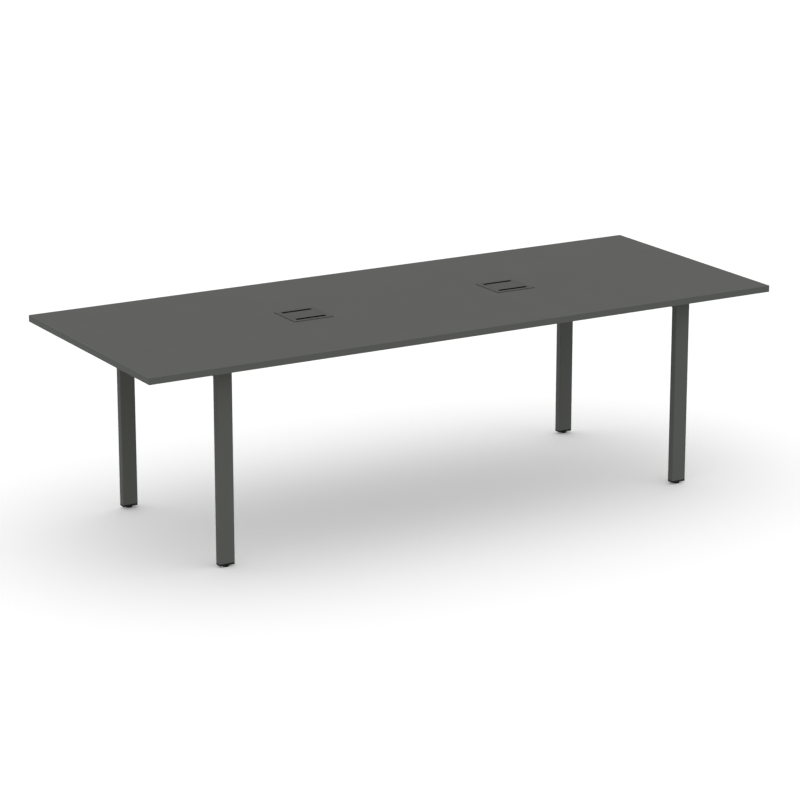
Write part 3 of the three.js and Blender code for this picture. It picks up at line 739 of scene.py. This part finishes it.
def threaded(diameter, pitch, depth, start, stop):
    """A grid of a screw thread from start to stop: the radius is a flat-topped wave of the height over the
    pitch less the turn, held inside a cone at each end."""
    count = int((stop - start) / pitch * ROWS_PER_PITCH) + 1
    height = np.linspace(start, stop, count)[:, None]
    phase = (height / pitch - EVEN_TURN / (2 * np.pi)) % 1
    crest = np.clip(CREST_SLOPE * (1 - np.abs(2 * phase - 1)) - CREST_SUNK, 0, 1)
    cone = diameter / 2 - depth + np.minimum(height - start, stop - height)
    radius = np.minimum(diameter / 2 - depth * (1 - crest), cone)
    upright = np.broadcast_to(height, radius.shape)
    return np.stack([radius * np.cos(EVEN_TURN), radius * np.sin(EVEN_TURN), upright], 2)


for place in PLACES:
    low, high, middle = span("foot_stud_" + place)
    grid = threaded(high[0] - low[0], STUD_PITCH, THREAD_DEPTH, low[2], high[2])
    dress("foot_stud_" + place, closed(grid).moved(x=middle[0], y=middle[1]))
    low, high, _ = span("foot_pad_" + place)
    wide = polar((high[0] - low[0]) / 2)
    narrow = polar((high[0] - low[0]) / 2 - PAD_EDGE)
    rings = ((narrow, low[2]), (wide, low[2] + PAD_EDGE), (wide, high[2] - PAD_EDGE),
             (narrow, high[2]), (CLEAR_HOLE, high[2]), (CLEAR_HOLE, low[2] + PAD_HOLE_FLOOR))
    grid = softened(stacked(*rings), (0, PAD_SOFTNESS, PAD_SOFTNESS, PAD_SOFTNESS, DEBURR, 0))
    dress("foot_pad_" + place, closed(grid).moved(x=middle[0], y=middle[1]))
print("studs with a", STUD_PITCH, "mm pitch and pads", high[0] - low[0], "mm across")

# %% [markdown]
# ## Bent and welded steel
# The brackets of the frame are bent from flat bar, and a weld is a bead drawn along a joint. Both are a
# profile carried along a path: at each point of the path the profile is set square to the way on. A curve
# object with a bevel does the same, but as a mesh the piece keeps its exact section and closed ends.

# %% A profile carried along a path
PLATE_RADIUS = 0.8


def carried(path, profile, across, swell=None):
    """A grid of a profile carried along a path in a plane: the path, plus the profile's first number times
    the normal, which is across times the way on, plus its second number times across. Swell scales it."""
    way_on = np.gradient(path, axis=0)
    way_on /= np.linalg.norm(way_on, axis=1, keepdims=True)
    across = np.array(across, float)
    normal = np.cross(across, way_on)
    scale = np.ones(len(path)) if swell is None else swell
    spread = profile[None, :, 0, None] * normal[:, None] + profile[None, :, 1, None] * across
    return path[:, None] + scale[:, None, None] * spread


def bent(corners, radius):
    """A path through its corners with each inner corner rounded by the rule of the softened edges."""
    grid = np.array(corners, float)[:, None]
    reaches = [0] + [radius] * (len(corners) - 2) + [0]
    return softened(grid, reaches)[:, 0]


def plate(low, high):
    """A flat plate between two corners, with rounded corners."""
    low, high = np.array(low, float), np.array(high, float)
    size, middle = high - low, (low + high) / 2
    outline = rounded(size[0], size[1], PLATE_RADIUS)
    return closed(stacked((outline, low[2]), (outline, high[2]))).moved(x=middle[0], y=middle[1])


print("paths and plates are ready")

# %% [markdown]
# ## Cross rails
# A rail joins each pair of legs under the board. It is a tube with two small tabs for the screws that hold
# the board, and a weld below each end. A smooth fillet could stand for a weld, but a real bead shows the
# ripples of its making, so the bead swells and shrinks along its path.

# %% Rail, tabs and welds
RAIL_WIDTH = 60
RAIL_HEIGHT = 40
RAIL_RADIUS = 3
RAIL_BORE_RADIUS = 1
RAIL_WALL = 2
TAB_SIZE = (30, 24, 3)
TAB_FROM_MIDDLE = 100
WELD_RADIUS = 2.2
WELD_RIPPLE = 2.6
WELD_SWELL = 0.09
WELD_STEPS = 140
WELD_END = 1
EVERY_FOURTH = slice(None, None, 4)

_, rail_high, _ = span("cross_rail_right")
RAIL_OUTSIDE, RAIL_END, _ = rail_high
RAIL_INSIDE = RAIL_OUTSIDE - RAIL_WIDTH
RAIL_BOTTOM = BOARD_UNDERSIDE - RAIL_HEIGHT


def rail_tube():
    """The rail itself, a tube laid along Y from leg to leg."""
    upright = tube(RAIL_HEIGHT, RAIL_WIDTH, RAIL_RADIUS, RAIL_BORE_RADIUS, RAIL_WALL, -RAIL_END, RAIL_END)
    return upright.along_y().moved(x=RAIL_OUTSIDE - RAIL_WIDTH / 2, z=RAIL_BOTTOM + RAIL_HEIGHT / 2)


def rail_tab(end):
    """A screw tab near one end of the rail, reaching from its inner face towards the table's middle."""
    length, reach, thickness = TAB_SIZE
    y, top = end * TAB_FROM_MIDDLE, BOARD_UNDERSIDE - RAIL_RADIUS
    return plate((RAIL_INSIDE - reach, y - length / 2, top - thickness),
                 (RAIL_INSIDE + RAIL_WALL / 2, y + length / 2, top))


def weld(end):
    """The bead below one end of the rail: a circle carried across it, swollen by a cosine of the way on."""
    x = np.linspace(RAIL_INSIDE + WELD_END, RAIL_OUTSIDE - WELD_END, WELD_STEPS)
    path = np.column_stack([x, np.full(WELD_STEPS, end * RAIL_END), np.full(WELD_STEPS, RAIL_BOTTOM)])
    swell = 1 + WELD_SWELL * np.cos(2 * np.pi * x / WELD_RIPPLE)
    return closed(carried(path, polar(WELD_RADIUS)[EVERY_FOURTH], (0, 1, 0), swell))


print("rails are", 2 * RAIL_END, "mm long")

# %% [markdown]
# Two brackets with welded nuts take the long beams. The whole rail is one welded piece on the real table,
# so its shells go into one mesh and overlap where the welds are. They could be joined by a boolean, but
# nothing of the inside shows. The right-hand rail is worked out, and the left-hand one is the same turned
# half round.

# %% Brackets and whole rails
BEAM_WIDTH = 20
BEAM_FIT = 0.3
BEAM_FROM_MIDDLE = 220
BRACKET_PLATE = 3
BRACKET_LENGTH = 30
BRACKET_FOLD = 3
BRACKET_EDGE = 0.4
BRACKET_BELOW_BOARD = 5
BOLT_ACROSS_FLATS = 13
WELD_NUT_HEIGHT = 6.5
WELD_NUT_SUNK = 0.2

BEAM_LOW, BEAM_HIGH, _ = span("long_beam_front")
BEAM_HEIGHT = BEAM_HIGH[2] - BEAM_LOW[2]
BRACKET_HALF = BEAM_WIDTH / 2 + BEAM_FIT + BRACKET_PLATE / 2


def beam_bracket(end):
    """A bracket bent from flat bar: down one side of the beam, under it and up the other side."""
    x = RAIL_INSIDE + (RAIL_WALL / 2 - BRACKET_LENGTH) / 2
    y = end * BEAM_FROM_MIDDLE
    bottom = BOARD_UNDERSIDE - BEAM_HEIGHT - BEAM_FIT - BRACKET_PLATE / 2
    top = BOARD_UNDERSIDE - BRACKET_BELOW_BOARD
    corners = [(x, y - BRACKET_HALF, top), (x, y - BRACKET_HALF, bottom),
               (x, y + BRACKET_HALF, bottom), (x, y + BRACKET_HALF, top)]
    bar = rounded(BRACKET_PLATE, BRACKET_LENGTH + RAIL_WALL / 2, BRACKET_EDGE)
    return closed(carried(bent(corners, BRACKET_FOLD), bar, (1, 0, 0)))


def weld_nut(end):
    """The nut on the bracket's side that faces the table's middle."""
    face = BRACKET_HALF + BRACKET_PLATE / 2
    rows = hex_rows(BOLT_ACROSS_FLATS, face - WELD_NUT_SUNK, face + WELD_NUT_HEIGHT, 0, NUT_CHAMFER)
    grid = stacked(*rows, (CLEAR_HOLE, face + WELD_NUT_HEIGHT), (CLEAR_HOLE, face - WELD_NUT_SUNK))
    nut = closed(grid, tube=True).along_y()
    nut = nut if end < 0 else nut.half_turned()
    x, y = RAIL_INSIDE - BRACKET_LENGTH / 2, end * BEAM_FROM_MIDDLE
    return nut.moved(x, y, BOARD_UNDERSIDE - BEAM_HEIGHT / 2)


rail = [rail_tube()]
for end in (-1, 1):
    rail += [rail_tab(end), beam_bracket(end), weld_nut(end), weld(end)]
dress("cross_rail_right", *rail)
dress("cross_rail_left", *(shell.half_turned() for shell in rail))
print("two rails of", len(rail), "shells each")

# %% [markdown]
# ## Long beams
# Two tubes run between the rails and keep the board from sagging. Their tabs stand on the side that faces
# the table's middle, so no screw shows from the long sides. The helpers for tubes and plates give both, and
# the rear beam is the front one turned half round.

# %% Beams
BEAM_RADIUS = 2
BEAM_BORE_RADIUS = 0.5
BEAM_WALL = 2
TAB_ON_BEAM = 650

front = -BEAM_FROM_MIDDLE
start, stop = BEAM_LOW[0], BEAM_HIGH[0]
upright = tube(BEAM_WIDTH, BEAM_HEIGHT, BEAM_RADIUS, BEAM_BORE_RADIUS, BEAM_WALL, start, stop)
beam = [upright.along_x().moved(y=front, z=BOARD_UNDERSIDE - BEAM_HEIGHT / 2)]
length, reach, thickness = TAB_SIZE
inner_face, tab_top = front + BEAM_WIDTH / 2, BOARD_UNDERSIDE - BEAM_RADIUS
for x in (-TAB_ON_BEAM, TAB_ON_BEAM):
    beam.append(plate((x - length / 2, inner_face - BEAM_WALL / 2, tab_top - thickness),
                      (x + length / 2, inner_face + reach, tab_top)))
dress("long_beam_front", *beam)
dress("long_beam_rear", *(shell.half_turned() for shell in beam))
print("two beams,", stop - start, "mm long")

# %% [markdown]
# ## Bolts
# Hexagon bolts hold the beams in their brackets. A bolt could be joined from a prism, a rod and a thread.
# Since all three are rings of the same number of points, they can also simply follow each other in one
# stack, which leaves no inner faces.

# %% Bolts
BOLT_HEAD_HEIGHT = 5.3
BOLT_DIAMETER = 8
BOLT_PLAIN_SHANK = 18
THREAD_RUN_OUT = 1


def bolt(length):
    """A bolt stacked upwards: a hexagon head chamfered at its end, a plain shank, then the thread."""
    head = stacked(*hex_rows(BOLT_ACROSS_FLATS, -BOLT_HEAD_HEIGHT, 0, NUT_CHAMFER, 0))
    shank = polar(BOLT_DIAMETER / 2)
    plain = stacked((shank, 0), (shank, BOLT_PLAIN_SHANK - THREAD_RUN_OUT))
    thread = threaded(BOLT_DIAMETER, STUD_PITCH, THREAD_DEPTH, BOLT_PLAIN_SHANK, length)
    return closed(np.concatenate([head, plain, thread]))


for row in ("front", "rear"):
    for mark in ("a", "b"):
        node = f"beam_bolt_{row}_{mark}"
        low, high, middle = span(node)
        laid = bolt(high[1] - low[1] - BOLT_HEAD_HEIGHT).along_y()
        if row == "front":
            laid = laid.moved(y=low[1] + BOLT_HEAD_HEIGHT)
        else:
            laid = laid.half_turned().moved(y=high[1] - BOLT_HEAD_HEIGHT)
        dress(node, laid.moved(x=middle[0], z=middle[2]))
print("four bolts,", high[1] - low[1], "mm overall")

# %% [markdown]
# ## Screws
# Pan-head screws hold the board and the boxes. The head is a low dome with a cross cut into it for the
# driver. Cutting the cross with a boolean would break up the dome's smooth faces. Instead the dome's height
# is lowered wherever a point lies inside the cross, with a short slope at the edges.

# %% Screws
SCREW_HEAD_HEIGHT = 2.5
SCREW_HEAD_DIAMETER = 8
SCREW_DIAMETER = 4
SCREW_PITCH = 1.8
SCREW_THREAD_DEPTH = 0.6
SCREW_TIP = 4
TIP_BLUNTNESS = 0.08
DOME_RINGS = 16
DOME_START = 0.04
DOME_FULLNESS = 0.97
CROSS_ARM = 0.5
CROSS_REACH = 2.1
CROSS_DEPTH = 1.4
CROSS_SIDE_SLOPE = 0.15
CROSS_END_SLOPE = 0.4


def screw_head():
    """A grid of the head: a dome, height over radius along an ellipse, sunk by the cross's depth where the
    nearer axis is within an arm and the radius is within reach."""
    half = SCREW_HEAD_DIAMETER / 2
    radius = half * np.sin(np.linspace(DOME_START, np.pi / 2, DOME_RINGS))[:, None]
    dome = -SCREW_HEAD_HEIGHT * np.sqrt(1 - (DOME_FULLNESS * radius / half) ** 2)
    x, y = radius * np.cos(EVEN_TURN), radius * np.sin(EVEN_TURN)
    from_axis = np.minimum(np.abs(x), np.abs(y))
    in_arm = np.clip((CROSS_ARM - from_axis) / CROSS_SIDE_SLOPE + 0.5, 0, 1)
    in_reach = np.clip((CROSS_REACH - radius) / CROSS_END_SLOPE, 0, 1)
    return np.stack([x, y, dome + CROSS_DEPTH * in_arm * in_reach], 2)


def screw(length):
    """A screw pointing up with its head below zero. Its shank is a thread that tapers to a blunt tip."""
    rim = stacked((polar(SCREW_HEAD_DIAMETER / 2), 0))
    shank = threaded(SCREW_DIAMETER, SCREW_PITCH, SCREW_THREAD_DEPTH, 0, length)[1:]
    taper = np.clip((length - shank[:, :1, 2:]) / SCREW_TIP, TIP_BLUNTNESS, 1)
    shank[:, :, :2] *= taper
    return closed(np.concatenate([screw_head(), rim, shank]))


screws = sorted(node for node in SLOT_OF if "_screw_" in node)
for node in screws:
    low, high, middle = span(node)
    head_seat = low[2] + SCREW_HEAD_HEIGHT
    dress(node, screw(high[2] - head_seat).moved(x=middle[0], y=middle[1], z=head_seat))
print(len(screws), "screws")

# %% [markdown]
# ## Plates and collars
# A cable port is a square plate on a black collar let into the board. Both have a square outside and an
# oblong opening. A boolean would cut the opening, but a loop of rings that runs from the large outline to
# the small one gives clean faces all round and lets each edge have its own softness. Ledges in the collar
# carry the lid.

# %% Plates and collars
PORT_SIZE = 163
PORT_RADIUS = 3
OPENING = (123, 127)
OPENING_RADIUS = 1
COLLAR_WALL = 3
COLLAR_RADIUS = 2
RECESS = 1.5
LEDGE_TOP = 757.4
LEDGE_HEIGHT = 3
LEDGE_REACH = 4
LEDGE_SPAN = (-37, -17)
PLATE_SOFTNESS = (0.1, 0.25, 0.2, 0.1)
COLLAR_SOFTNESS = (0.2, 0.1, 0.1, 0.4, 0.4, 0)
SIDES = ("left", "right")


def lid_ledge(hand):
    """A ledge inside the collar's wall, on one hand of the opening."""
    ends = sorted(hand * (OPENING[0] / 2 + reach) for reach in (-LEDGE_REACH, COLLAR_WALL / 2))
    return plate((ends[0], LEDGE_SPAN[0], LEDGE_TOP - LEDGE_HEIGHT), (ends[1], LEDGE_SPAN[1], LEDGE_TOP))


square = rounded(PORT_SIZE, PORT_SIZE, PORT_RADIUS)
opening = rounded(*OPENING, OPENING_RADIUS)
wall = rounded(OPENING[0] + 2 * COLLAR_WALL, OPENING[1] + 2 * COLLAR_WALL, COLLAR_RADIUS)
for side in SIDES:
    low, high, middle = span("port_bezel_" + side)
    rings = (square, low[2]), (square, high[2]), (opening, high[2]), (opening, low[2])
    shell = closed(softened(stacked(*rings), PLATE_SOFTNESS), tube=True)
    dress("port_bezel_" + side, shell.moved(x=middle[0]))

    low, high, middle = span("port_collar_" + side)
    under = BOARD_TOP - RECESS
    rings = ((square, under), (square, high[2]), (opening, high[2]),
             (opening, low[2]), (wall, low[2]), (wall, under))
    collar = closed(softened(stacked(*rings), COLLAR_SOFTNESS), tube=True)
    shells = [collar, lid_ledge(-1), lid_ledge(1)]
    dress("port_collar_" + side, *(shell.moved(x=middle[0]) for shell in shells))
print("port plates", PORT_SIZE, "mm square with an opening of", OPENING)

# %% [markdown]
# ## Lids
# A lid lies in the opening between two slots for cables. It is a thin painted facing on a black moulded
# backing, so the slots beside it look dark from a low angle. One painted plate would be simpler, but would
# show a grey edge there. The backing carries the two hinge ears.

# %% Lids
LID_SIZE = (122, 91)
LID_THICKNESS = 2
LID_FACING = 0.5
LID_RIM_SOFTNESS = 0.25
LID_JOINT_SOFTNESS = 0.1
HINGE_Y = 35
HINGE_BELOW = 4
EAR_RADIUS = 4
EAR_THICKNESS = 3
EAR_INSIDE = 57.5
EAR_HOLE_RADIUS = 1.8
EAR_HOLE = polar(EAR_HOLE_RADIUS)
NEARLY_NOTHING = 1e-6


def ear(start):
    """A hinge ear stacked along X: round below its hole and straight-sided up into the lid. Its radius is
    the ear's own below, and above the nearer of its two sides and its top."""
    cosine, sine = np.cos(EVEN_TURN), np.sin(EVEN_TURN)
    to_side = EAR_RADIUS / np.maximum(np.abs(cosine), NEARLY_NOTHING)
    to_top = (HINGE_BELOW + LID_THICKNESS / 2) / np.maximum(sine, NEARLY_NOTHING)
    outline = polar(np.where(sine > 0, np.minimum(to_side, to_top), EAR_RADIUS))
    stop = start + EAR_THICKNESS
    rings = (outline, start), (outline, stop), (EAR_HOLE, stop), (EAR_HOLE, start)
    return closed(softened(stacked(*rings), [DEBURR] * 4), tube=True).along_x()


def slab(outline, bottom, top, bottom_softness, top_softness):
    """A flat slab of the given outline, softened along its lower and upper edge. The rings at half size
    keep each face flat right to its middle."""
    grid = stacked((outline / 2, bottom), (outline, bottom), (outline, top), (outline / 2, top))
    return closed(softened(grid, (0, bottom_softness, top_softness, 0)))


for side in SIDES:
    low, high, middle = span("port_lid_" + side)
    outline = rounded(*LID_SIZE, OPENING_RADIUS)
    top, underside = high[2], high[2] - LID_THICKNESS
    joint = top - LID_FACING
    facing = slab(outline, joint, top, LID_JOINT_SOFTNESS, LID_RIM_SOFTNESS)
    dress("port_lid_" + side, facing.moved(x=middle[0]))
    shells = [slab(outline, underside, joint, DEBURR, LID_JOINT_SOFTNESS)]
    for start in (EAR_INSIDE, -EAR_INSIDE - EAR_THICKNESS):
        shells.append(ear(start).moved(y=HINGE_Y, z=underside - HINGE_BELOW))
    shells = [shell.moved(x=middle[0]) for shell in shells]
    new_piece(f"port_lid_{side}_backing", shells, "black_plastic", "lid_" + side)
print("lids", LID_SIZE, "mm with a facing of", LID_FACING, "mm")

# %% [markdown]
# ## Hinge pins
# Each lid turns on two short pins cut from round bar. A plain cylinder would have knife edges, so four
# rings give the pin the small chamfers that let it start in its hole.

# %% Hinge pins
PIN_CHAMFER = 0.4
PIN_TIP_SHARE = 0.8

for side in SIDES:
    for mark in ("a", "b"):
        low, high, middle = span(f"hinge_pin_{side}_{mark}")
        bar = polar((high[2] - low[2]) / 2)
        tip = bar * PIN_TIP_SHARE
        rings = (tip, low[0]), (bar, low[0] + PIN_CHAMFER), (bar, high[0] - PIN_CHAMFER), (tip, high[0])
        pin = closed(stacked(*rings)).along_x()
        dress(f"hinge_pin_{side}_{mark}", pin.moved(y=middle[1], z=middle[2]))
print("two pins to each lid,", high[0] - low[0], "mm long")

# %% [markdown]
# ## Boxes
# Below each port hangs a box folded from sheet steel: one strip bent up into two walls and a floor, an end
# plate at the front, another with the way out for cables at the rear, and two flanges for the screws. A
# bevelled block would have no seams. Here each sheet is a flat bar carried along its folds, so the box
# keeps them.

# %% Sheets
BOX_SHEET = 1.5
BOX_FOLD = 2
SHEET_TO_EDGE = 5
FLANGE_SHEET = 1.3
FLANGE_REACH = 22
FLANGE_LENGTH = 60
FLANGE_LEG = 8


def folded(corners, sheet, length):
    """A sheet bent along corners of X and Z, and of the given length along Y."""
    path = bent([(x, 0, z) for x, z in corners], BOX_FOLD)
    return closed(carried(path, rounded(sheet, length, sheet / SHEET_TO_EDGE), (0, -1, 0)))


def box_strip(half, low, high, length):
    """The strip that makes two walls and the floor: down one side, across and up the other."""
    wall, bottom = half - BOX_SHEET / 2, low + BOX_SHEET / 2
    return folded([(-wall, high), (-wall, bottom), (wall, bottom), (wall, high)], BOX_SHEET, length)


def box_flange(half, high):
    """The right-hand flange: up the wall for a short way, then out under the board."""
    wall, top = half - BOX_SHEET / 2, high - FLANGE_SHEET / 2
    corners = [(wall, top - FLANGE_LEG), (wall, top), (half + FLANGE_REACH, top)]
    return folded(corners, FLANGE_SHEET, FLANGE_LENGTH)


def pierced_plate(width, height, hole, hole_above, start):
    """A plate stacked along Y from start whose face runs from its outline to a hole. Its own X points up,
    and the hole stands above the middle by the given amount."""
    outline = rounded(height, width, BOX_FOLD)
    cut = rounded(hole[1], hole[0], BOX_FOLD) + (hole_above, 0)
    stop = start + BOX_SHEET
    rings = (outline, start), (outline, stop), (cut, stop), (cut, start)
    return closed(softened(stacked(*rings), [DEBURR] * 4), tube=True).along_y()


print("boxes are folded from", BOX_SHEET, "mm sheet")

# %% [markdown]
# The front plate is plain, and the rear one is a loop of rings from its outline to the way out. A boolean
# could cut the hole, but would leave nothing to soften.

# %% Boxes
BOX_SEAM = 0.2
EXIT_SIZE = (60, 24)
EXIT_ABOVE_FLOOR = 12


def exit_middle(side):
    """Middle of the way out, in the rear plate of a box and a little above its floor."""
    low, high, middle = span("port_box_" + side)
    return middle[0], high[1] - BOX_SHEET / 2, low[2] + BOX_SHEET + EXIT_ABOVE_FLOOR + EXIT_SIZE[1] / 2


for side in SIDES:
    low, high, middle = span("port_box_" + side)
    half, height = high[0] - middle[0] - FLANGE_REACH, high[2] - low[2]
    strip_length = high[1] - low[1] - 2 * (BOX_SHEET + BOX_SEAM)
    flange = box_flange(half, high[2])
    outline = rounded(height, 2 * half, BOX_FOLD)
    front = closed(stacked((outline, low[1]), (outline, low[1] + BOX_SHEET))).along_y()
    exit_above = exit_middle(side)[2] - middle[2]
    rear = pierced_plate(2 * half, height, EXIT_SIZE, exit_above, high[1] - BOX_SHEET)
    shells = [box_strip(half, low[2], high[2], strip_length), flange, flange.half_turned(),
              front.moved(z=middle[2]), rear.moved(z=middle[2])]
    dress("port_box_" + side, *(shell.moved(x=middle[0]) for shell in shells))
print("two boxes of", 2 * half, "by", high[1] - low[1], "by", height, "mm")

# %% [markdown]
# A plastic lip guards the cut edge of the way out and holds two brushes, one above and one below, which part
# round a cable and keep dust out. Each brush could be hundreds of separate hairs, but so small a one shows
# only its ridges, so it is one surface that swells and thins along its length.

# %% Lips and brushes
LIP_OUTSIDE = 2.5
LIP_INSIDE = 1
LIP_DEPTH = 4
BRUSH_THICKNESS = 1.6
BRUSH_HEIGHT = 13
BRUSH_EDGE = 0.4
BRUSH_FROM_MIDDLE = 0.9
BRUSH_STEPS = 301
BRISTLE = 1.2
HOLLOW_DEPTH = 0.5
TIP_DROP = 0.1


def brush():
    """A row of bristles along X: an oblong section that thins, and grows a little shorter, in the hollows
    between them, which are 1 less the size of a sine of the way along."""
    x = np.linspace(-EXIT_SIZE[0] / 2, EXIT_SIZE[0] / 2, BRUSH_STEPS)[:, None]
    hollow = 1 - np.abs(np.sin(np.pi * x / BRISTLE))
    section = rounded(BRUSH_THICKNESS, BRUSH_HEIGHT, BRUSH_EDGE)[EVERY_FOURTH]
    thick = section[:, 0] * (1 - HOLLOW_DEPTH * hollow)
    tall = section[:, 1] * (1 - TIP_DROP * hollow)
    return closed(np.stack(np.broadcast_arrays(x, thick, tall), 2))


lip = tube(EXIT_SIZE[1] + 2 * LIP_OUTSIDE, EXIT_SIZE[0] + 2 * LIP_OUTSIDE, 2 * BOX_FOLD, BOX_FOLD,
           LIP_OUTSIDE + LIP_INSIDE, -LIP_DEPTH / 2, LIP_DEPTH / 2).along_y()
above = brush().moved(y=BRUSH_FROM_MIDDLE, z=(EXIT_SIZE[1] - BRUSH_HEIGHT) / 2)
below = brush().moved(y=-BRUSH_FROM_MIDDLE, z=(BRUSH_HEIGHT - EXIT_SIZE[1]) / 2)
for side in SIDES:
    place = exit_middle(side)
    new_piece(f"cable_exit_lip_{side}", [lip.moved(*place)], "black_plastic", "table")
    brushes = [above.moved(*place), below.moved(*place)]
    new_piece(f"cable_exit_brush_{side}", brushes, "black_plastic", "table")
print("two ways out of", EXIT_SIZE, "mm with a lip and two brushes each")

# %% [markdown]
# ## Sockets
# Each socket well has a raised rim that guides the plug, and two sprung earth strips at its sides. They
# could be drawn on with bump, but an open lid shows them from above, so they are real. The rim is a loop of
# four circles, and a strip is the same carried bar as the brackets, only thinner and bent by a few degrees.

# %% Sockets
SOCKET_FROM_MIDDLE = 25
SOCKET_RADIUS = 19.5
SOCKET_DEPTH = 15
RIM_WIDTH = 2.5
RIM_HEIGHT = 1.2
RIM_SOFTNESS = 0.5
STRIP_SHEET = 0.7
STRIP_WIDTH = 5
STRIP_BOW = 2.2
STRIP_INSET = 0.6
STRIP_FOLD = 1.5
STRIP_END = 1
STRIP_BEND = 6


def socket_rim(face):
    """The rim round a well, standing on the block's face and let into it a little."""
    inside, outside = polar(SOCKET_RADIUS), polar(SOCKET_RADIUS + RIM_WIDTH)
    bottom, top = face - DEBURR, face + RIM_HEIGHT
    rings = (outside, bottom), (outside, top), (inside, top), (inside, bottom)
    return closed(softened(stacked(*rings), (0, RIM_SOFTNESS, RIM_SOFTNESS, 0)), tube=True)


def earth_strip(face):
    """A sprung strip at the rear of a well: up its wall, bowed inwards between its ends."""
    edge, bottom = SOCKET_RADIUS - STRIP_INSET, face - SOCKET_DEPTH
    bowed = edge - STRIP_BOW
    corners = [(0, edge, bottom + STRIP_END), (0, bowed, bottom + STRIP_BEND),
               (0, bowed, face - STRIP_BEND), (0, edge, face - STRIP_END)]
    bar = rounded(STRIP_SHEET, STRIP_WIDTH, STRIP_SHEET / SHEET_TO_EDGE)[EVERY_FOURTH]
    return closed(carried(bent(corners, STRIP_FOLD), bar, (1, 0, 0)))


for side in SIDES:
    _, high, middle = span("socket_block_" + side)
    rim, strip = socket_rim(high[2]), earth_strip(high[2])
    wells = [middle[0] + end * SOCKET_FROM_MIDDLE for end in (-1, 1)]
    rims = [rim.moved(x=x) for x in wells]
    new_piece(f"socket_rims_{side}", rims, "black_plastic", "table")
    strips = [shell.moved(x=x) for x in wells for shell in (strip, strip.half_turned())]
    new_piece(f"earth_strips_{side}", strips, "zinc_steel", "table")
print("four sockets with rims and earth strips")

# %% [markdown]
# ## Size
# The dressed table must stay inside the CAD model's box. Both boxes could be compared by eye in a viewport;
# here the dressed table's box is worked out as numbers.

# %% Size
low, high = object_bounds()
